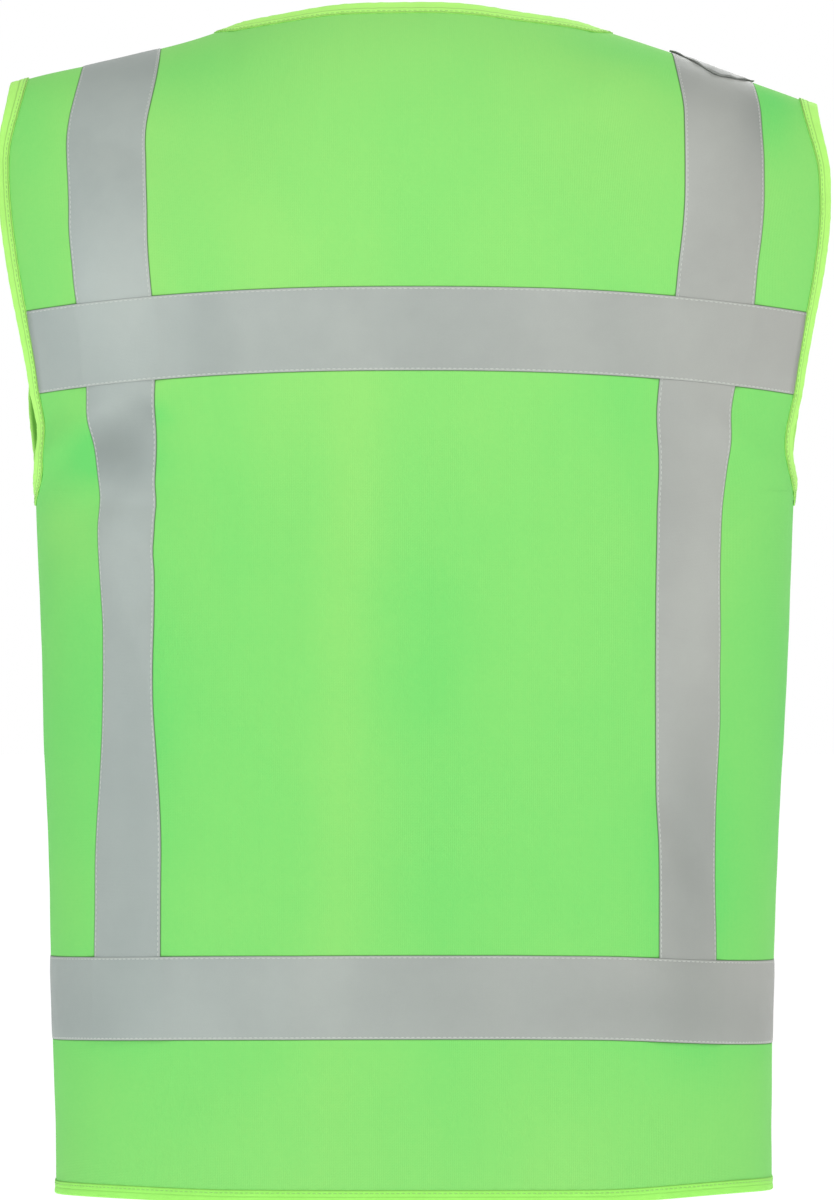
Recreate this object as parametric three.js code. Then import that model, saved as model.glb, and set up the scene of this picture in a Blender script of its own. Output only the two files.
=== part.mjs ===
// A high visibility vest: back and front panels sewn from knitted fabric, bound edges,
// reflective tape in two rings and two braces, and a separating zip down the front.
// Millimetres, +Z up. The wearer faces -Y and the wearer's left is +X.
// The origin is the middle of the neck opening, at the height of the neck's side points.
import * as THREE from 'three';

// ---- driving dimensions: the garment's outline ----
const NECK_POINT_HEIGHT = 674; // hem to the neck's side points
const HEM_HALF_WIDTH = 206.5;
const CHEST_HALF_WIDTH = 217.5; // at the underarm points
const SHOULDER_BULGE_OUT = 32.5; // how far the body that the armhole edges lie on passes the chest
const SHOULDER_BULGE_HEIGHT = 560;
const SHOULDER_OUT = 14.5; // shoulder tip past the chest's half width
const ARMHOLE_DIP = 1.5; // how far the edge draws in just above the underarm
const ARMHOLE_DIP_HEIGHT = 38;
const ARMHOLE_FLARE_START = 30; // above the underarm, where the edge begins to stand out
const ARMHOLE_FLARE_HEIGHT = 150;
const SHOULDER_TIP_HEIGHT = 45; // below the shoulder tip, where the edge turns in again
const ARMHOLE_OUT = 20; // the armhole edge past the chest's half width, where it stands out the most
const UNDERARM_HEIGHT = 398;
const SHOULDER_DROP = 39; // neck side point to shoulder tip
const NECK_HALF_WIDTH = 104;
const NECK_ARCH = 26; // height of the arch that the ridge makes over the neck opening
const BACK_NECK_RISE = 10;
const FRONT_NECK_DROP = 124;
const BACK_HEM_DEPTH = 120;
const BACK_DEPTH = 130;
const BACK_DEPTH_HEIGHT = 450;
const FRONT_DEPTH = 132;
const SHOULDER_ROUND = 150; // height over which the panels curve in to the shoulder ridge
const SECTION_POWER = 2.6; // squareness of the horizontal section

// ---- driving dimensions: cloth, tape and binding ----
const PANEL_THICKNESS = 0.8;
const TAPE_THICKNESS = 0.6;
const BINDING_THICKNESS = 0.6;
const LAYER_GAP = 0.3; // clearance between two layers of cloth
const SEAM_GAP = 0.4; // clearance between two panels at a seam
const TAPE_WIDTH = 49;
const WAIST_TAPE_HEIGHT = 91;
const CHEST_TAPE_HEIGHT = 476;
const CHEST_TAPE_DROOP = 9; // how far the tape's ends hang below its middle
const WAIST_TAPE_DROOP = 3;
const BRACE_INSET = 73.5; // chest's half width to the brace tape's inner edge, below the chest tape
const BRACE_WIDTH = 34; // the brace tape's width across the body, as it turns to the side
const BRACE_SHOULDER_OUT = 11; // how far the brace tape moves out over the shoulder blades
const BRACE_SHOULDER_WIDEN = 11; // how much flatter it lies there
const BRACE_FLARE_START = 32; // above the underarm, where the brace tape begins to move out
const BRACE_FLARE_HEIGHT = 130;
const BRACE_WIDEN_BELOW = 18; // below the underarm, where it begins to lie flatter
const BRACE_TOP_IN = 8.8; // how far it moves in again towards the ridge
const BRACE_TOP_HEIGHT = 50;
const BRACE_RIDGE_DROP = 14; // neck's side points to the ridge under the brace tape
const BINDING_WIDTH = 9;
const HEM_WIDTH = 10;

// ---- driving dimensions: the zip ----
const FRONT_EDGE_X = 9; // front panel edge to the centre line
const ZIP_TAPE_OUTER_X = 20;
const ZIP_TAPE_THICKNESS = 0.6;
const ZIP_TAPE_GAP = 1.4; // between the front panels and the flat zip tape behind them
const TEETH_INNER_X = 0.75;
const TEETH_OUTER_X = 3.0;
const TEETH_DEPTH = 2.0;
const ZIP_BOTTOM = 16; // height of the lowest tooth
const ZIP_TOP_MARGIN = 14; // below the point of the front neck
const TOP_STOP_LENGTH = 4;
const RETAINER_HEIGHT = 9;
const RETAINER_HALF_WIDTH = 4.2;
const PIN_LENGTH = 7;
const PIN_SEATED = 4; // length of the pin inside the retainer box
const ZIP_CLEARANCE = 0.35;
const SLIDER_LENGTH = 12;
const SLIDER_HALF_WIDTH = 5;
const SLIDER_PLATE = 1.1;
const SLIDER_WEB = 0.7;
const BAIL_WIDTH = 2;
const BAIL_BAR = 0.9;
const BAIL_LENGTH = 8;
const BAIL_REACH = 3.4;
const PULL_LENGTH = 26;
const PULL_HALF_WIDTH = 3.6;
const PULL_THICKNESS = 1.2;
const PULL_WINDOW = 5.4;
const PULL_SIDE_BAR = 1.8;

// ---- driving dimensions: label and hanger loop inside the back neck ----
const LABEL_HALF_WIDTH = 20;
const LABEL_HEIGHT = 26;
const LABEL_THICKNESS = 0.4;
const LABEL_CLEARANCE = 3;
const LOOP_HALF_LENGTH = 30;
const LOOP_FLAT_HALF_LENGTH = 18;
const LOOP_STAND = 9; // how far the ribbon stands off its ends
const LOOP_RIBBON = 8;
const LOOP_THICKNESS = 0.8;
const LOOP_TOP_MARGIN = 2;

const SHOULDER_HALF_WIDTH = CHEST_HALF_WIDTH + SHOULDER_OUT;

const BACK = 1;
const FRONT = -1;
const QUARTER = Math.PI / 2;
const SETTLE_STEPS = 8;

const finish = (color, roughness, metalness = 0) =>
  new THREE.MeshStandardMaterial({ color, roughness, metalness });
const CLOTH = [0x8ae374, 0.9];
const TAPE = [0xadb4ac, 0.5];
const BINDING = [0xa9f37f, 0.85];
const ZIP_TAPE = [0x8edb74, 0.9];
const ZIP_PLASTIC = [0x86cf6d, 0.45];
const LABEL = [0xf2f2ee, 0.8];

const clamp01 = (value) => Math.min(1, Math.max(0, value));
const smooth = (value) => clamp01(value) ** 2 * (3 - 2 * clamp01(value));
const lerp = (a, b, share) => a + (b - a) * share;

// ---- the body that the cloth hangs on ----
// Half width of the body at a height.
function bodyHalfWidth(height) {
  const lower = lerp(HEM_HALF_WIDTH, CHEST_HALF_WIDTH, smooth(height / UNDERARM_HEIGHT));
  const bulge = smooth((height - UNDERARM_HEIGHT) / (SHOULDER_BULGE_HEIGHT - UNDERARM_HEIGHT));
  return lower + SHOULDER_BULGE_OUT * bulge;
}

function bodyDepth(side, height) {
  if (side === FRONT) return FRONT_DEPTH;
  return lerp(BACK_HEM_DEPTH, BACK_DEPTH, smooth(height / BACK_DEPTH_HEIGHT));
}

// Height of the shoulder ridge at a distance from the centre line. Over the neck opening it
// goes on as an arch, which the back neck edge is cut from.
function ridgeHeight(x) {
  const slope = SHOULDER_DROP / (SHOULDER_HALF_WIDTH - NECK_HALF_WIDTH);
  if (Math.abs(x) < NECK_HALF_WIDTH) {
    return NECK_POINT_HEIGHT + NECK_ARCH * (1 - (x / NECK_HALF_WIDTH) ** 2);
  }
  return NECK_POINT_HEIGHT + (NECK_HALF_WIDTH - Math.abs(x)) * slope;
}

// The armhole edge, seen from behind.
function armholeX(height) {
  const waist = CHEST_HALF_WIDTH - ARMHOLE_DIP;
  const above = height - UNDERARM_HEIGHT;
  const below = ridgeHeight(SHOULDER_HALF_WIDTH) - height;
  const dip = lerp(CHEST_HALF_WIDTH, waist, clamp01(above / ARMHOLE_DIP_HEIGHT));
  const out = smooth((above - ARMHOLE_FLARE_START) / ARMHOLE_FLARE_HEIGHT);
  const tip = smooth(1 - below / SHOULDER_TIP_HEIGHT);
  return dip + (CHEST_HALF_WIDTH + ARMHOLE_OUT - waist) * out - (ARMHOLE_OUT - SHOULDER_OUT) * tip;
}

const sectionX = (turn) => Math.sign(turn) * Math.abs(Math.sin(turn)) ** (2 / SECTION_POWER);
const sectionY = (turn) => Math.sign(Math.cos(turn)) * Math.abs(Math.cos(turn)) ** (2 / SECTION_POWER);

// The section's turn angle for a distance from the centre line.
const turnAt = (x, height) =>
  Math.asin(Math.min(1, (x / bodyHalfWidth(height)) ** (SECTION_POWER / 2)));

// The dome angle runs from 0 on the ridge to a right angle where the rounding ends, and past
// that it grows with the depth below.
const depthOfDome = (dome) =>
  Math.abs(dome) <= QUARTER ? 1 - Math.cos(dome) : 1 + Math.abs(dome) - QUARTER;
const domeOfDepth = (depth) => (depth <= 1 ? Math.acos(1 - Math.max(0, depth)) : QUARTER + depth - 1);
const domeOfHeight = (x, height) => domeOfDepth((ridgeHeight(x) - height) / SHOULDER_ROUND);

function bodyPoint(side, turn, dome) {
  let height = NECK_POINT_HEIGHT - SHOULDER_ROUND * depthOfDome(dome);
  let x = 0;
  for (let step = 0; step < SETTLE_STEPS; step += 1) {
    x = bodyHalfWidth(height) * sectionX(turn);
    height = ridgeHeight(x) - SHOULDER_ROUND * depthOfDome(dome);
  }
  const inward = Math.abs(dome) < QUARTER ? Math.sin(dome) : Math.sign(dome);
  const y = side * bodyDepth(side, height) * sectionY(turn) * inward;
  return new THREE.Vector3(x, y, height - NECK_POINT_HEIGHT);
}

// ---- columns: lines that run up the body ----
function braceInnerX(height) {
  const out = smooth((height - UNDERARM_HEIGHT - BRACE_FLARE_START) / BRACE_FLARE_HEIGHT);
  const back = smooth(1 - (NECK_POINT_HEIGHT - BRACE_RIDGE_DROP - height) / BRACE_TOP_HEIGHT);
  return CHEST_HALF_WIDTH - BRACE_INSET + BRACE_SHOULDER_OUT * out - BRACE_TOP_IN * back;
}

function braceOuterX(height) {
  const widen = smooth((height - UNDERARM_HEIGHT + BRACE_WIDEN_BELOW) / BRACE_FLARE_HEIGHT);
  return braceInnerX(height) + BRACE_WIDTH + BRACE_SHOULDER_WIDEN * widen;
}

function edgeTurn(height) {
  return height <= UNDERARM_HEIGHT ? QUARTER : turnAt(armholeX(height), height);
}

function bindingTurn(height) {
  const turn = edgeTurn(height);
  const step = 0.02;
  const wide = bodyHalfWidth(height) * (sectionX(turn) - sectionX(turn - step));
  const deep = BACK_DEPTH * (sectionY(turn - step) - sectionY(turn));
  return turn - Math.min(0.6, (step * BINDING_WIDTH) / Math.hypot(wide, deep));
}

const columnLines = {
  centre: () => 0,
  zip: (height) => turnAt(FRONT_EDGE_X, height),
  neck: (height) => turnAt(NECK_HALF_WIDTH, height),
  braceInner: (height) => turnAt(braceInnerX(height), height),
  braceOuter: (height) => turnAt(braceOuterX(height), height),
  binding: bindingTurn,
  edge: edgeTurn,
};

// ---- rows: lines that run across the body ----
const droop = (x, amount) => amount * Math.abs(x / CHEST_HALF_WIDTH) ** 3;

function neckEdgeHeight(side, x) {
  const share = Math.abs(x) / NECK_HALF_WIDTH;
  if (share >= 1) return ridgeHeight(x);
  if (side === BACK) return NECK_POINT_HEIGHT + BACK_NECK_RISE * (1 - share ** 2);
  return NECK_POINT_HEIGHT - FRONT_NECK_DROP * (1 - share ** 1.15);
}

function bindingRowHeight(side, x) {
  const top = neckEdgeHeight(side, x);
  const dome = domeOfHeight(x, top);
  const steep = side === FRONT && Math.abs(x) < NECK_HALF_WIDTH ? FRONT_NECK_DROP / NECK_HALF_WIDTH : 0;
  const bend = Math.min(dome, QUARTER);
  const speed = Math.hypot(SHOULDER_ROUND * Math.sin(bend), BACK_DEPTH * Math.cos(bend));
  const width = BINDING_WIDTH * Math.hypot(1, 0.8 * steep);
  return ridgeHeight(x) - SHOULDER_ROUND * depthOfDome(dome + width / speed);
}

const rowLines = {
  hem: () => 0,
  hemTop: () => HEM_WIDTH,
  waistLow: (side, x) => WAIST_TAPE_HEIGHT - droop(x, WAIST_TAPE_DROOP),
  waistTop: (side, x) => WAIST_TAPE_HEIGHT + TAPE_WIDTH - droop(x, WAIST_TAPE_DROOP),
  underarm: () => UNDERARM_HEIGHT,
  armholeStart: () => UNDERARM_HEIGHT + 8,
  chestLow: (side, x) => CHEST_TAPE_HEIGHT - droop(x, CHEST_TAPE_DROOP),
  chestTop: (side, x) => CHEST_TAPE_HEIGHT + TAPE_WIDTH - droop(x, CHEST_TAPE_DROOP),
  topBinding: bindingRowHeight,
  top: neckEdgeHeight,
};

// Names the lines between which a grid runs, with the number of cells in each stretch.
function stretches(spans) {
  const lines = [{ from: spans[0][0], to: spans[0][0], share: 0 }];
  for (const [from, to, cells] of spans) {
    for (let cell = 1; cell <= cells; cell += 1) lines.push({ from, to, share: cell / cells });
  }
  return lines;
}

const sideColumns = [
  ['neck', 'braceInner', 3],
  ['braceInner', 'braceOuter', 3],
  ['braceOuter', 'binding', 2],
  ['binding', 'edge', 1],
];
const backColumns = stretches([['centre', 'neck', 4], ...sideColumns]);
const frontColumns = stretches([['zip', 'neck', 4], ...sideColumns]);
const rows = stretches([
  ['hem', 'hemTop', 1],
  ['hemTop', 'waistLow', 2],
  ['waistLow', 'waistTop', 2],
  ['waistTop', 'underarm', 6],
  ['underarm', 'armholeStart', 1],
  ['armholeStart', 'chestLow', 3],
  ['chestLow', 'chestTop', 2],
  ['chestTop', 'topBinding', 6],
  ['topBinding', 'top', 1],
]);

const lineIndex = (lines, name, last = true) => {
  const found = lines.findIndex((line) => line.to === name && line.share === (last ? 1 : 0));
  return found < 0 ? lines.findIndex((line) => line.from === name && line.share === 0) : found;
};
const columnIndex = (lines, name) => lineIndex(lines, name, name !== lines[0].from);
const rowIndex = (name) => lineIndex(rows, name, name !== 'hem');

// Where a column crosses a row: the point and the outward normal there.
function crossing(side, column, row, mirror, place) {
  const rowHeight = (name, x) => rowLines[name](side, x);
  let height = lerp(rowHeight(row.from, NECK_HALF_WIDTH), rowHeight(row.to, NECK_HALF_WIDTH), row.share);
  let turn = 0;
  let x = 0;
  for (let step = 0; step < SETTLE_STEPS; step += 1) {
    turn = lerp(columnLines[column.from](height), columnLines[column.to](height), column.share);
    x = bodyHalfWidth(height) * sectionX(turn);
    const low = domeOfHeight(x, rowHeight(row.from, x));
    const high = domeOfHeight(x, rowHeight(row.to, x));
    height = ridgeHeight(x) - SHOULDER_ROUND * depthOfDome(lerp(low, high, row.share));
  }
  const dome = domeOfHeight(x, height);
  const step = 0.002;
  const point = bodyPoint(side, turn, dome);
  const across = bodyPoint(side, turn + step, dome).sub(bodyPoint(side, turn - step, dome));
  const down = bodyPoint(side, turn, dome + step).sub(bodyPoint(side, turn, dome - step));
  const normal = new THREE.Vector3().crossVectors(across, down).normalize();
  if (normal.dot(new THREE.Vector3(0.2 * x, point.y, 20)) < 0) normal.negate();
  point.y = side * (Math.max(0, side * point.y) + SEAM_GAP / 2);
  if (mirror) {
    point.x = -point.x;
    normal.x = -normal.x;
  }
  return { point, normal, ...place };
}

// ---- closed meshes from grids and rings ----
class Builder {
  constructor() {
    this.points = [];
    this.faces = [];
  }

  add(point) {
    this.points.push(point);
    return this.points.length - 1;
  }

  quad(a, b, c, d, swap = false) {
    if (swap) this.faces.push([a, b, d], [b, c, d]);
    else this.faces.push([a, b, c], [a, c, d]);
  }

  // Turns the faces outwards, so that the solid's volume is positive.
  geometry() {
    let volume = 0;
    for (const [a, b, c] of this.faces) {
      volume += this.points[a].dot(new THREE.Vector3().crossVectors(this.points[b], this.points[c]));
    }
    const faces = volume < 0 ? this.faces.map(([a, b, c]) => [a, c, b]) : this.faces;
    const geometry = new THREE.BufferGeometry().setFromPoints(this.points);
    geometry.setIndex(faces.flat());
    geometry.computeVertexNormals();
    return geometry;
  }
}

// Each cell is split from its low corner near the centre line to its high corner away from it.
const sameSlope = (a, b) => (a.column - b.column) * (a.row - b.row) > 0;

// A sheet between two heights above a grid of crossings, closed round its edge.
function sheet(grid, low, high) {
  const builder = new Builder();
  const level = (amount) => grid.map((line) => line.map(({ point, normal }) =>
    builder.add(point.clone().addScaledVector(normal, amount))));
  const bottom = level(low);
  const top = level(high);
  const last = grid.length - 1;
  const end = grid[0].length - 1;
  for (let i = 0; i < last; i += 1) {
    for (let j = 0; j < end; j += 1) {
      const swap = !sameSlope(grid[i][j], grid[i + 1][j + 1]);
      builder.quad(top[i][j], top[i + 1][j], top[i + 1][j + 1], top[i][j + 1], swap);
      if (swap) {
        builder.faces.push([bottom[i][j], bottom[i][j + 1], bottom[i + 1][j]]);
        builder.faces.push([bottom[i + 1][j], bottom[i][j + 1], bottom[i + 1][j + 1]]);
      } else {
        builder.faces.push([bottom[i][j], bottom[i + 1][j + 1], bottom[i + 1][j]]);
        builder.faces.push([bottom[i][j], bottom[i][j + 1], bottom[i + 1][j + 1]]);
      }
    }
  }
  for (let i = 0; i < last; i += 1) {
    builder.quad(bottom[i][0], bottom[i + 1][0], top[i + 1][0], top[i][0]);
    builder.quad(bottom[i + 1][end], bottom[i][end], top[i][end], top[i + 1][end]);
  }
  for (let j = 0; j < end; j += 1) {
    builder.quad(bottom[0][j + 1], bottom[0][j], top[0][j], top[0][j + 1]);
    builder.quad(bottom[last][j], bottom[last][j + 1], top[last][j + 1], top[last][j]);
  }
  return builder.geometry();
}

// A strip folded over an edge. Each step holds the edge crossing and the crossing where the
// strip's legs end. The legs' triangles follow the panel's, so that the layers stay apart.
function foldedStrip(steps) {
  const builder = new Builder();
  const inner = LAYER_GAP;
  const outer = LAYER_GAP + BINDING_THICKNESS;
  const rings = steps.map(({ edge, leg, along }) => {
    const out = new THREE.Vector3().crossVectors(along, edge.normal).normalize();
    if (out.dot(edge.point.clone().sub(leg.point)) < 0) out.negate();
    const at = (place, beyond, lift) => builder.add(
      place.point.clone().addScaledVector(out, beyond).addScaledVector(place.normal, lift));
    return [
      at(leg, 0, PANEL_THICKNESS + outer), at(edge, 0, PANEL_THICKNESS + outer),
      at(edge, outer, PANEL_THICKNESS + outer), at(edge, outer, -outer),
      at(edge, 0, -outer), at(leg, 0, -outer), at(leg, 0, -inner), at(edge, 0, -inner),
      at(edge, inner, -inner), at(edge, inner, PANEL_THICKNESS + inner),
      at(edge, 0, PANEL_THICKNESS + inner), at(leg, 0, PANEL_THICKNESS + inner),
    ];
  });
  const onEdge = [1, 4, 7, 10];
  const onLeg = [0, 5, 6, 11];
  const place = (step, k) => (onEdge.includes(k) ? steps[step].edge : steps[step].leg);
  for (let i = 0; i + 1 < rings.length; i += 1) {
    for (let k = 0; k < rings[i].length; k += 1) {
      const next = (k + 1) % rings[i].length;
      const isLeg = [...onEdge, ...onLeg].includes(k) && onLeg.includes(k) !== onLeg.includes(next)
        && [...onEdge, ...onLeg].includes(next);
      const swap = isLeg && !sameSlope(place(i, k), place(i + 1, next));
      builder.quad(rings[i][k], rings[i][next], rings[i + 1][next], rings[i + 1][k], swap);
    }
  }
  const first = rings[0];
  const final = rings[rings.length - 1];
  for (const [a, b, c, d] of [[0, 1, 10, 11], [1, 2, 9, 10], [2, 3, 8, 9], [3, 4, 7, 8], [4, 5, 6, 7]]) {
    builder.quad(first[d], first[c], first[b], first[a]);
    builder.quad(final[a], final[b], final[c], final[d]);
  }
  return builder.geometry();
}

// Fills in the direction along the edge at each step from the steps beside it.
function alongEdge(steps) {
  return steps.map((step, i) => {
    if (step.along) return step;
    const before = steps[Math.max(0, i - 1)].edge.point;
    const after = steps[Math.min(steps.length - 1, i + 1)].edge.point;
    return { ...step, along: after.clone().sub(before).normalize() };
  });
}

// ---- the grids of the three panels ----
const halfGrid = (side, columns, mirror) =>
  columns.map((column, i) =>
    rows.map((row, j) => crossing(side, column, row, mirror, { column: i, row: j })));
const backLeft = halfGrid(BACK, backColumns, false);
const backRight = halfGrid(BACK, backColumns, true);
const backGrid = [...backRight.slice(1).reverse(), ...backLeft];
const backMiddle = backColumns.length - 1;
const frontGrids = {
  left: halfGrid(FRONT, frontColumns, false),
  right: halfGrid(FRONT, frontColumns, true),
};

const cut = (grid, columnFrom, columnTo, rowFrom, rowTo) =>
  grid.slice(columnFrom, columnTo + 1).map((line) => line.slice(rowIndex(rowFrom), rowIndex(rowTo) + 1));

const BRACE_LOW = PANEL_THICKNESS + LAYER_GAP;
const BRACE_HIGH = BRACE_LOW + TAPE_THICKNESS;
const RING_LOW = BRACE_HIGH + LAYER_GAP;
const RING_HIGH = RING_LOW + TAPE_THICKNESS;

const group = new THREE.Group();

function addMesh(name, geometry, look) {
  const mesh = new THREE.Mesh(geometry, finish(...look));
  mesh.name = name;
  group.add(mesh);
  return mesh;
}

function panels() {
  addMesh('back_panel', sheet(backGrid, 0, PANEL_THICKNESS), CLOTH);
  addMesh('front_panel_left', sheet(frontGrids.left, 0, PANEL_THICKNESS), CLOTH);
  addMesh('front_panel_right', sheet(frontGrids.right, 0, PANEL_THICKNESS), CLOTH);
}

function tapes() {
  const inner = columnIndex(backColumns, 'braceInner');
  const outer = columnIndex(backColumns, 'braceOuter');
  const bound = columnIndex(backColumns, 'binding');
  const last = backGrid.length - 1;
  const brace = (grid, from, to) => sheet(cut(grid, from, to, 'waistLow', 'top'), BRACE_LOW, BRACE_HIGH);
  const ring = (grid, from, to, low, top) => sheet(cut(grid, from, to, low, top), RING_LOW, RING_HIGH);
  addMesh('back_brace_tape_left', brace(backGrid, backMiddle + inner, backMiddle + outer), TAPE);
  addMesh('back_brace_tape_right', brace(backGrid, backMiddle - outer, backMiddle - inner), TAPE);
  const chest = ring(backGrid, backMiddle - bound, backMiddle + bound, 'chestLow', 'chestTop');
  addMesh('back_chest_tape', chest, TAPE);
  addMesh('back_waist_tape', ring(backGrid, 0, last, 'waistLow', 'waistTop'), TAPE);
  const frontInner = columnIndex(frontColumns, 'braceInner');
  const frontOuter = columnIndex(frontColumns, 'braceOuter');
  const frontBound = columnIndex(frontColumns, 'binding');
  for (const [hand, grid] of Object.entries(frontGrids)) {
    addMesh(`front_brace_tape_${hand}`, brace(grid, frontInner, frontOuter), TAPE);
    addMesh(`front_chest_tape_${hand}`, ring(grid, 0, frontBound, 'chestLow', 'chestTop'), TAPE);
    addMesh(`front_waist_tape_${hand}`, ring(grid, 0, grid.length - 1, 'waistLow', 'waistTop'), TAPE);
  }
}

function armholeBindings() {
  const first = rowIndex('armholeStart');
  const final = rowIndex('top');
  for (const hand of ['left', 'right']) {
    const back = hand === 'left' ? backLeft : backRight;
    const front = frontGrids[hand];
    const steps = [];
    const step = (grid, j) => ({ edge: grid[grid.length - 1][j], leg: grid[grid.length - 2][j] });
    for (let j = first; j <= final; j += 1) steps.push(step(back, j));
    for (let j = final; j >= first; j -= 1) steps.push(step(front, j));
    addMesh(`armhole_binding_${hand}`, foldedStrip(alongEdge(steps)), BINDING);
  }
}

function hemBinding() {
  const step = (line) => ({ edge: line[0], leg: line[1] });
  const steps = [
    ...frontGrids.right.map(step),
    ...backGrid.map(step),
    ...[...frontGrids.left].reverse().map(step),
  ];
  addMesh('hem_binding', foldedStrip(alongEdge(steps)), BINDING);
}

function neckBinding() {
  const top = rowIndex('top');
  const leg = rowIndex('topBinding');
  const corner = columnIndex(backColumns, 'neck');
  const step = (line) => ({ edge: line[top], leg: line[leg] });
  const toFront = new THREE.Vector3(0, -1, 0);
  const overRidge = (grid, at) => ({ edge: grid[at][top], leg: grid[at + 1][top], along: toFront });
  const frontSteps = (grid) => grid.slice(0, corner + 1).map(step);
  const direction = (steps, from, to) =>
    steps[to].edge.point.clone().sub(steps[from].edge.point).normalize();
  const rightFront = frontSteps(frontGrids.right);
  rightFront[corner].along = direction(rightFront, corner - 1, corner);
  const leftFront = frontSteps(frontGrids.left);
  leftFront[corner].along = direction(leftFront, corner - 1, corner);
  const back = backGrid.slice(backMiddle - corner, backMiddle + corner + 1).map(step);
  back[0].along = direction(back, 0, 1);
  back[back.length - 1].along = direction(back, back.length - 2, back.length - 1);
  const steps = [
    ...rightFront,
    overRidge(frontGrids.right, corner),
    overRidge(backRight, corner),
    ...back,
    overRidge(backLeft, corner),
    overRidge(frontGrids.left, corner),
    ...leftFront.reverse(),
  ];
  addMesh('neck_binding', foldedStrip(alongEdge(steps)), BINDING);
}

// ---- the zip ----
const box = (low, high) => {
  const size = high.map((value, axis) => value - low[axis]);
  const geometry = new THREE.BoxGeometry(...size);
  geometry.translate(...low.map((value, axis) => value + size[axis] / 2));
  return geometry;
};
const zipZ = (height) => height - NECK_POINT_HEIGHT;
const ZIP_TOP = NECK_POINT_HEIGHT - FRONT_NECK_DROP - ZIP_TOP_MARGIN;
const FRONT_Y = -FRONT_DEPTH - SEAM_GAP / 2; // inner face of the front panels at the zip
const TAPE_OUTER_Y = FRONT_Y + ZIP_TAPE_GAP;
const TAPE_INNER_Y = TAPE_OUTER_Y + ZIP_TAPE_THICKNESS;
const TEETH_MIDDLE_Y = (TAPE_OUTER_Y + TAPE_INNER_Y) / 2;
const TEETH_OUTER_Y = TEETH_MIDDLE_Y - TEETH_DEPTH / 2;
const TEETH_INNER_Y = TEETH_MIDDLE_Y + TEETH_DEPTH / 2;

const RETAINER_TOP = ZIP_BOTTOM - LAYER_GAP - PIN_LENGTH + PIN_SEATED;

function zipChains() {
  for (const [hand, sign] of [['left', 1], ['right', -1]]) {
    const mirrored = (a, b) => (sign > 0 ? [a, b] : [-b, -a]);
    const [tapeLow, tapeHigh] = mirrored(TEETH_OUTER_X + LAYER_GAP, ZIP_TAPE_OUTER_X);
    const clothLow = [tapeLow, TAPE_OUTER_Y, zipZ(RETAINER_TOP + LAYER_GAP)];
    const clothHigh = [tapeHigh, TAPE_INNER_Y, zipZ(ZIP_TOP + TOP_STOP_LENGTH)];
    addMesh(`zip_tape_${hand}`, box(clothLow, clothHigh), ZIP_TAPE);
    const [low, high] = mirrored(TEETH_INNER_X, TEETH_OUTER_X);
    const teethLow = [low, TEETH_OUTER_Y, zipZ(ZIP_BOTTOM)];
    const teethHigh = [high, TEETH_INNER_Y, zipZ(ZIP_TOP - TOP_STOP_LENGTH)];
    addMesh(`zip_teeth_${hand}`, box(teethLow, teethHigh), ZIP_PLASTIC);
    const stopLow = [low, TEETH_OUTER_Y, zipZ(ZIP_TOP - TOP_STOP_LENGTH + LAYER_GAP)];
    const stopHigh = [high, TEETH_INNER_Y, zipZ(ZIP_TOP)];
    addMesh(`zip_top_stop_${hand}`, box(stopLow, stopHigh), ZIP_PLASTIC);
  }
}

function zipEnds() {
  const low = [-RETAINER_HALF_WIDTH, TEETH_OUTER_Y - 0.6, zipZ(RETAINER_TOP - RETAINER_HEIGHT)];
  const high = [RETAINER_HALF_WIDTH, TEETH_INNER_Y + 0.6, zipZ(RETAINER_TOP)];
  addMesh('zip_retainer_box', box(low, high), ZIP_PLASTIC);
  const pinLow = [TEETH_INNER_X, TEETH_OUTER_Y, zipZ(RETAINER_TOP + LAYER_GAP)];
  const pinHigh = [TEETH_OUTER_X, TEETH_INNER_Y, zipZ(ZIP_BOTTOM - LAYER_GAP)];
  addMesh('zip_insertion_pin', box(pinLow, pinHigh), ZIP_PLASTIC);
}

// The slider's plates lie on both sides of the teeth and are joined by a web between them.
// Its bail is an arch on the outer plate that the pull hangs from.
const SLIDER_TOP = ZIP_TOP - TOP_STOP_LENGTH - ZIP_CLEARANCE;
const OUTER_PLATE_Y = TEETH_OUTER_Y - ZIP_CLEARANCE;
const PLATE_FACE_Y = OUTER_PLATE_Y - SLIDER_PLATE;
const BAIL_MIDDLE = SLIDER_TOP - SLIDER_LENGTH / 2;
const PIVOT_Y = PLATE_FACE_Y - (BAIL_REACH - BAIL_BAR) / 2;
const PIVOT_HEIGHT = BAIL_MIDDLE + 1;

// Extrudes an outline of distances from the body and heights across the zip.
function acrossZip(outline, halfWidth) {
  const shape = new THREE.Shape(outline.map(([y, z]) => new THREE.Vector2(y, z)));
  const geometry = new THREE.ExtrudeGeometry(shape, { depth: 2 * halfWidth, bevelEnabled: false });
  geometry.translate(0, 0, -halfWidth);
  const frame = new THREE.Matrix4().makeBasis(
    new THREE.Vector3(0, 1, 0), new THREE.Vector3(0, 0, 1), new THREE.Vector3(1, 0, 0));
  return geometry.applyMatrix4(frame);
}

function outlineAlongZip(points, low, high) {
  const shape = new THREE.Shape(points.map(([x, y]) => new THREE.Vector2(x, y)));
  const geometry = new THREE.ExtrudeGeometry(shape, { depth: high - low, bevelEnabled: false });
  return geometry.translate(0, 0, low);
}

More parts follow.
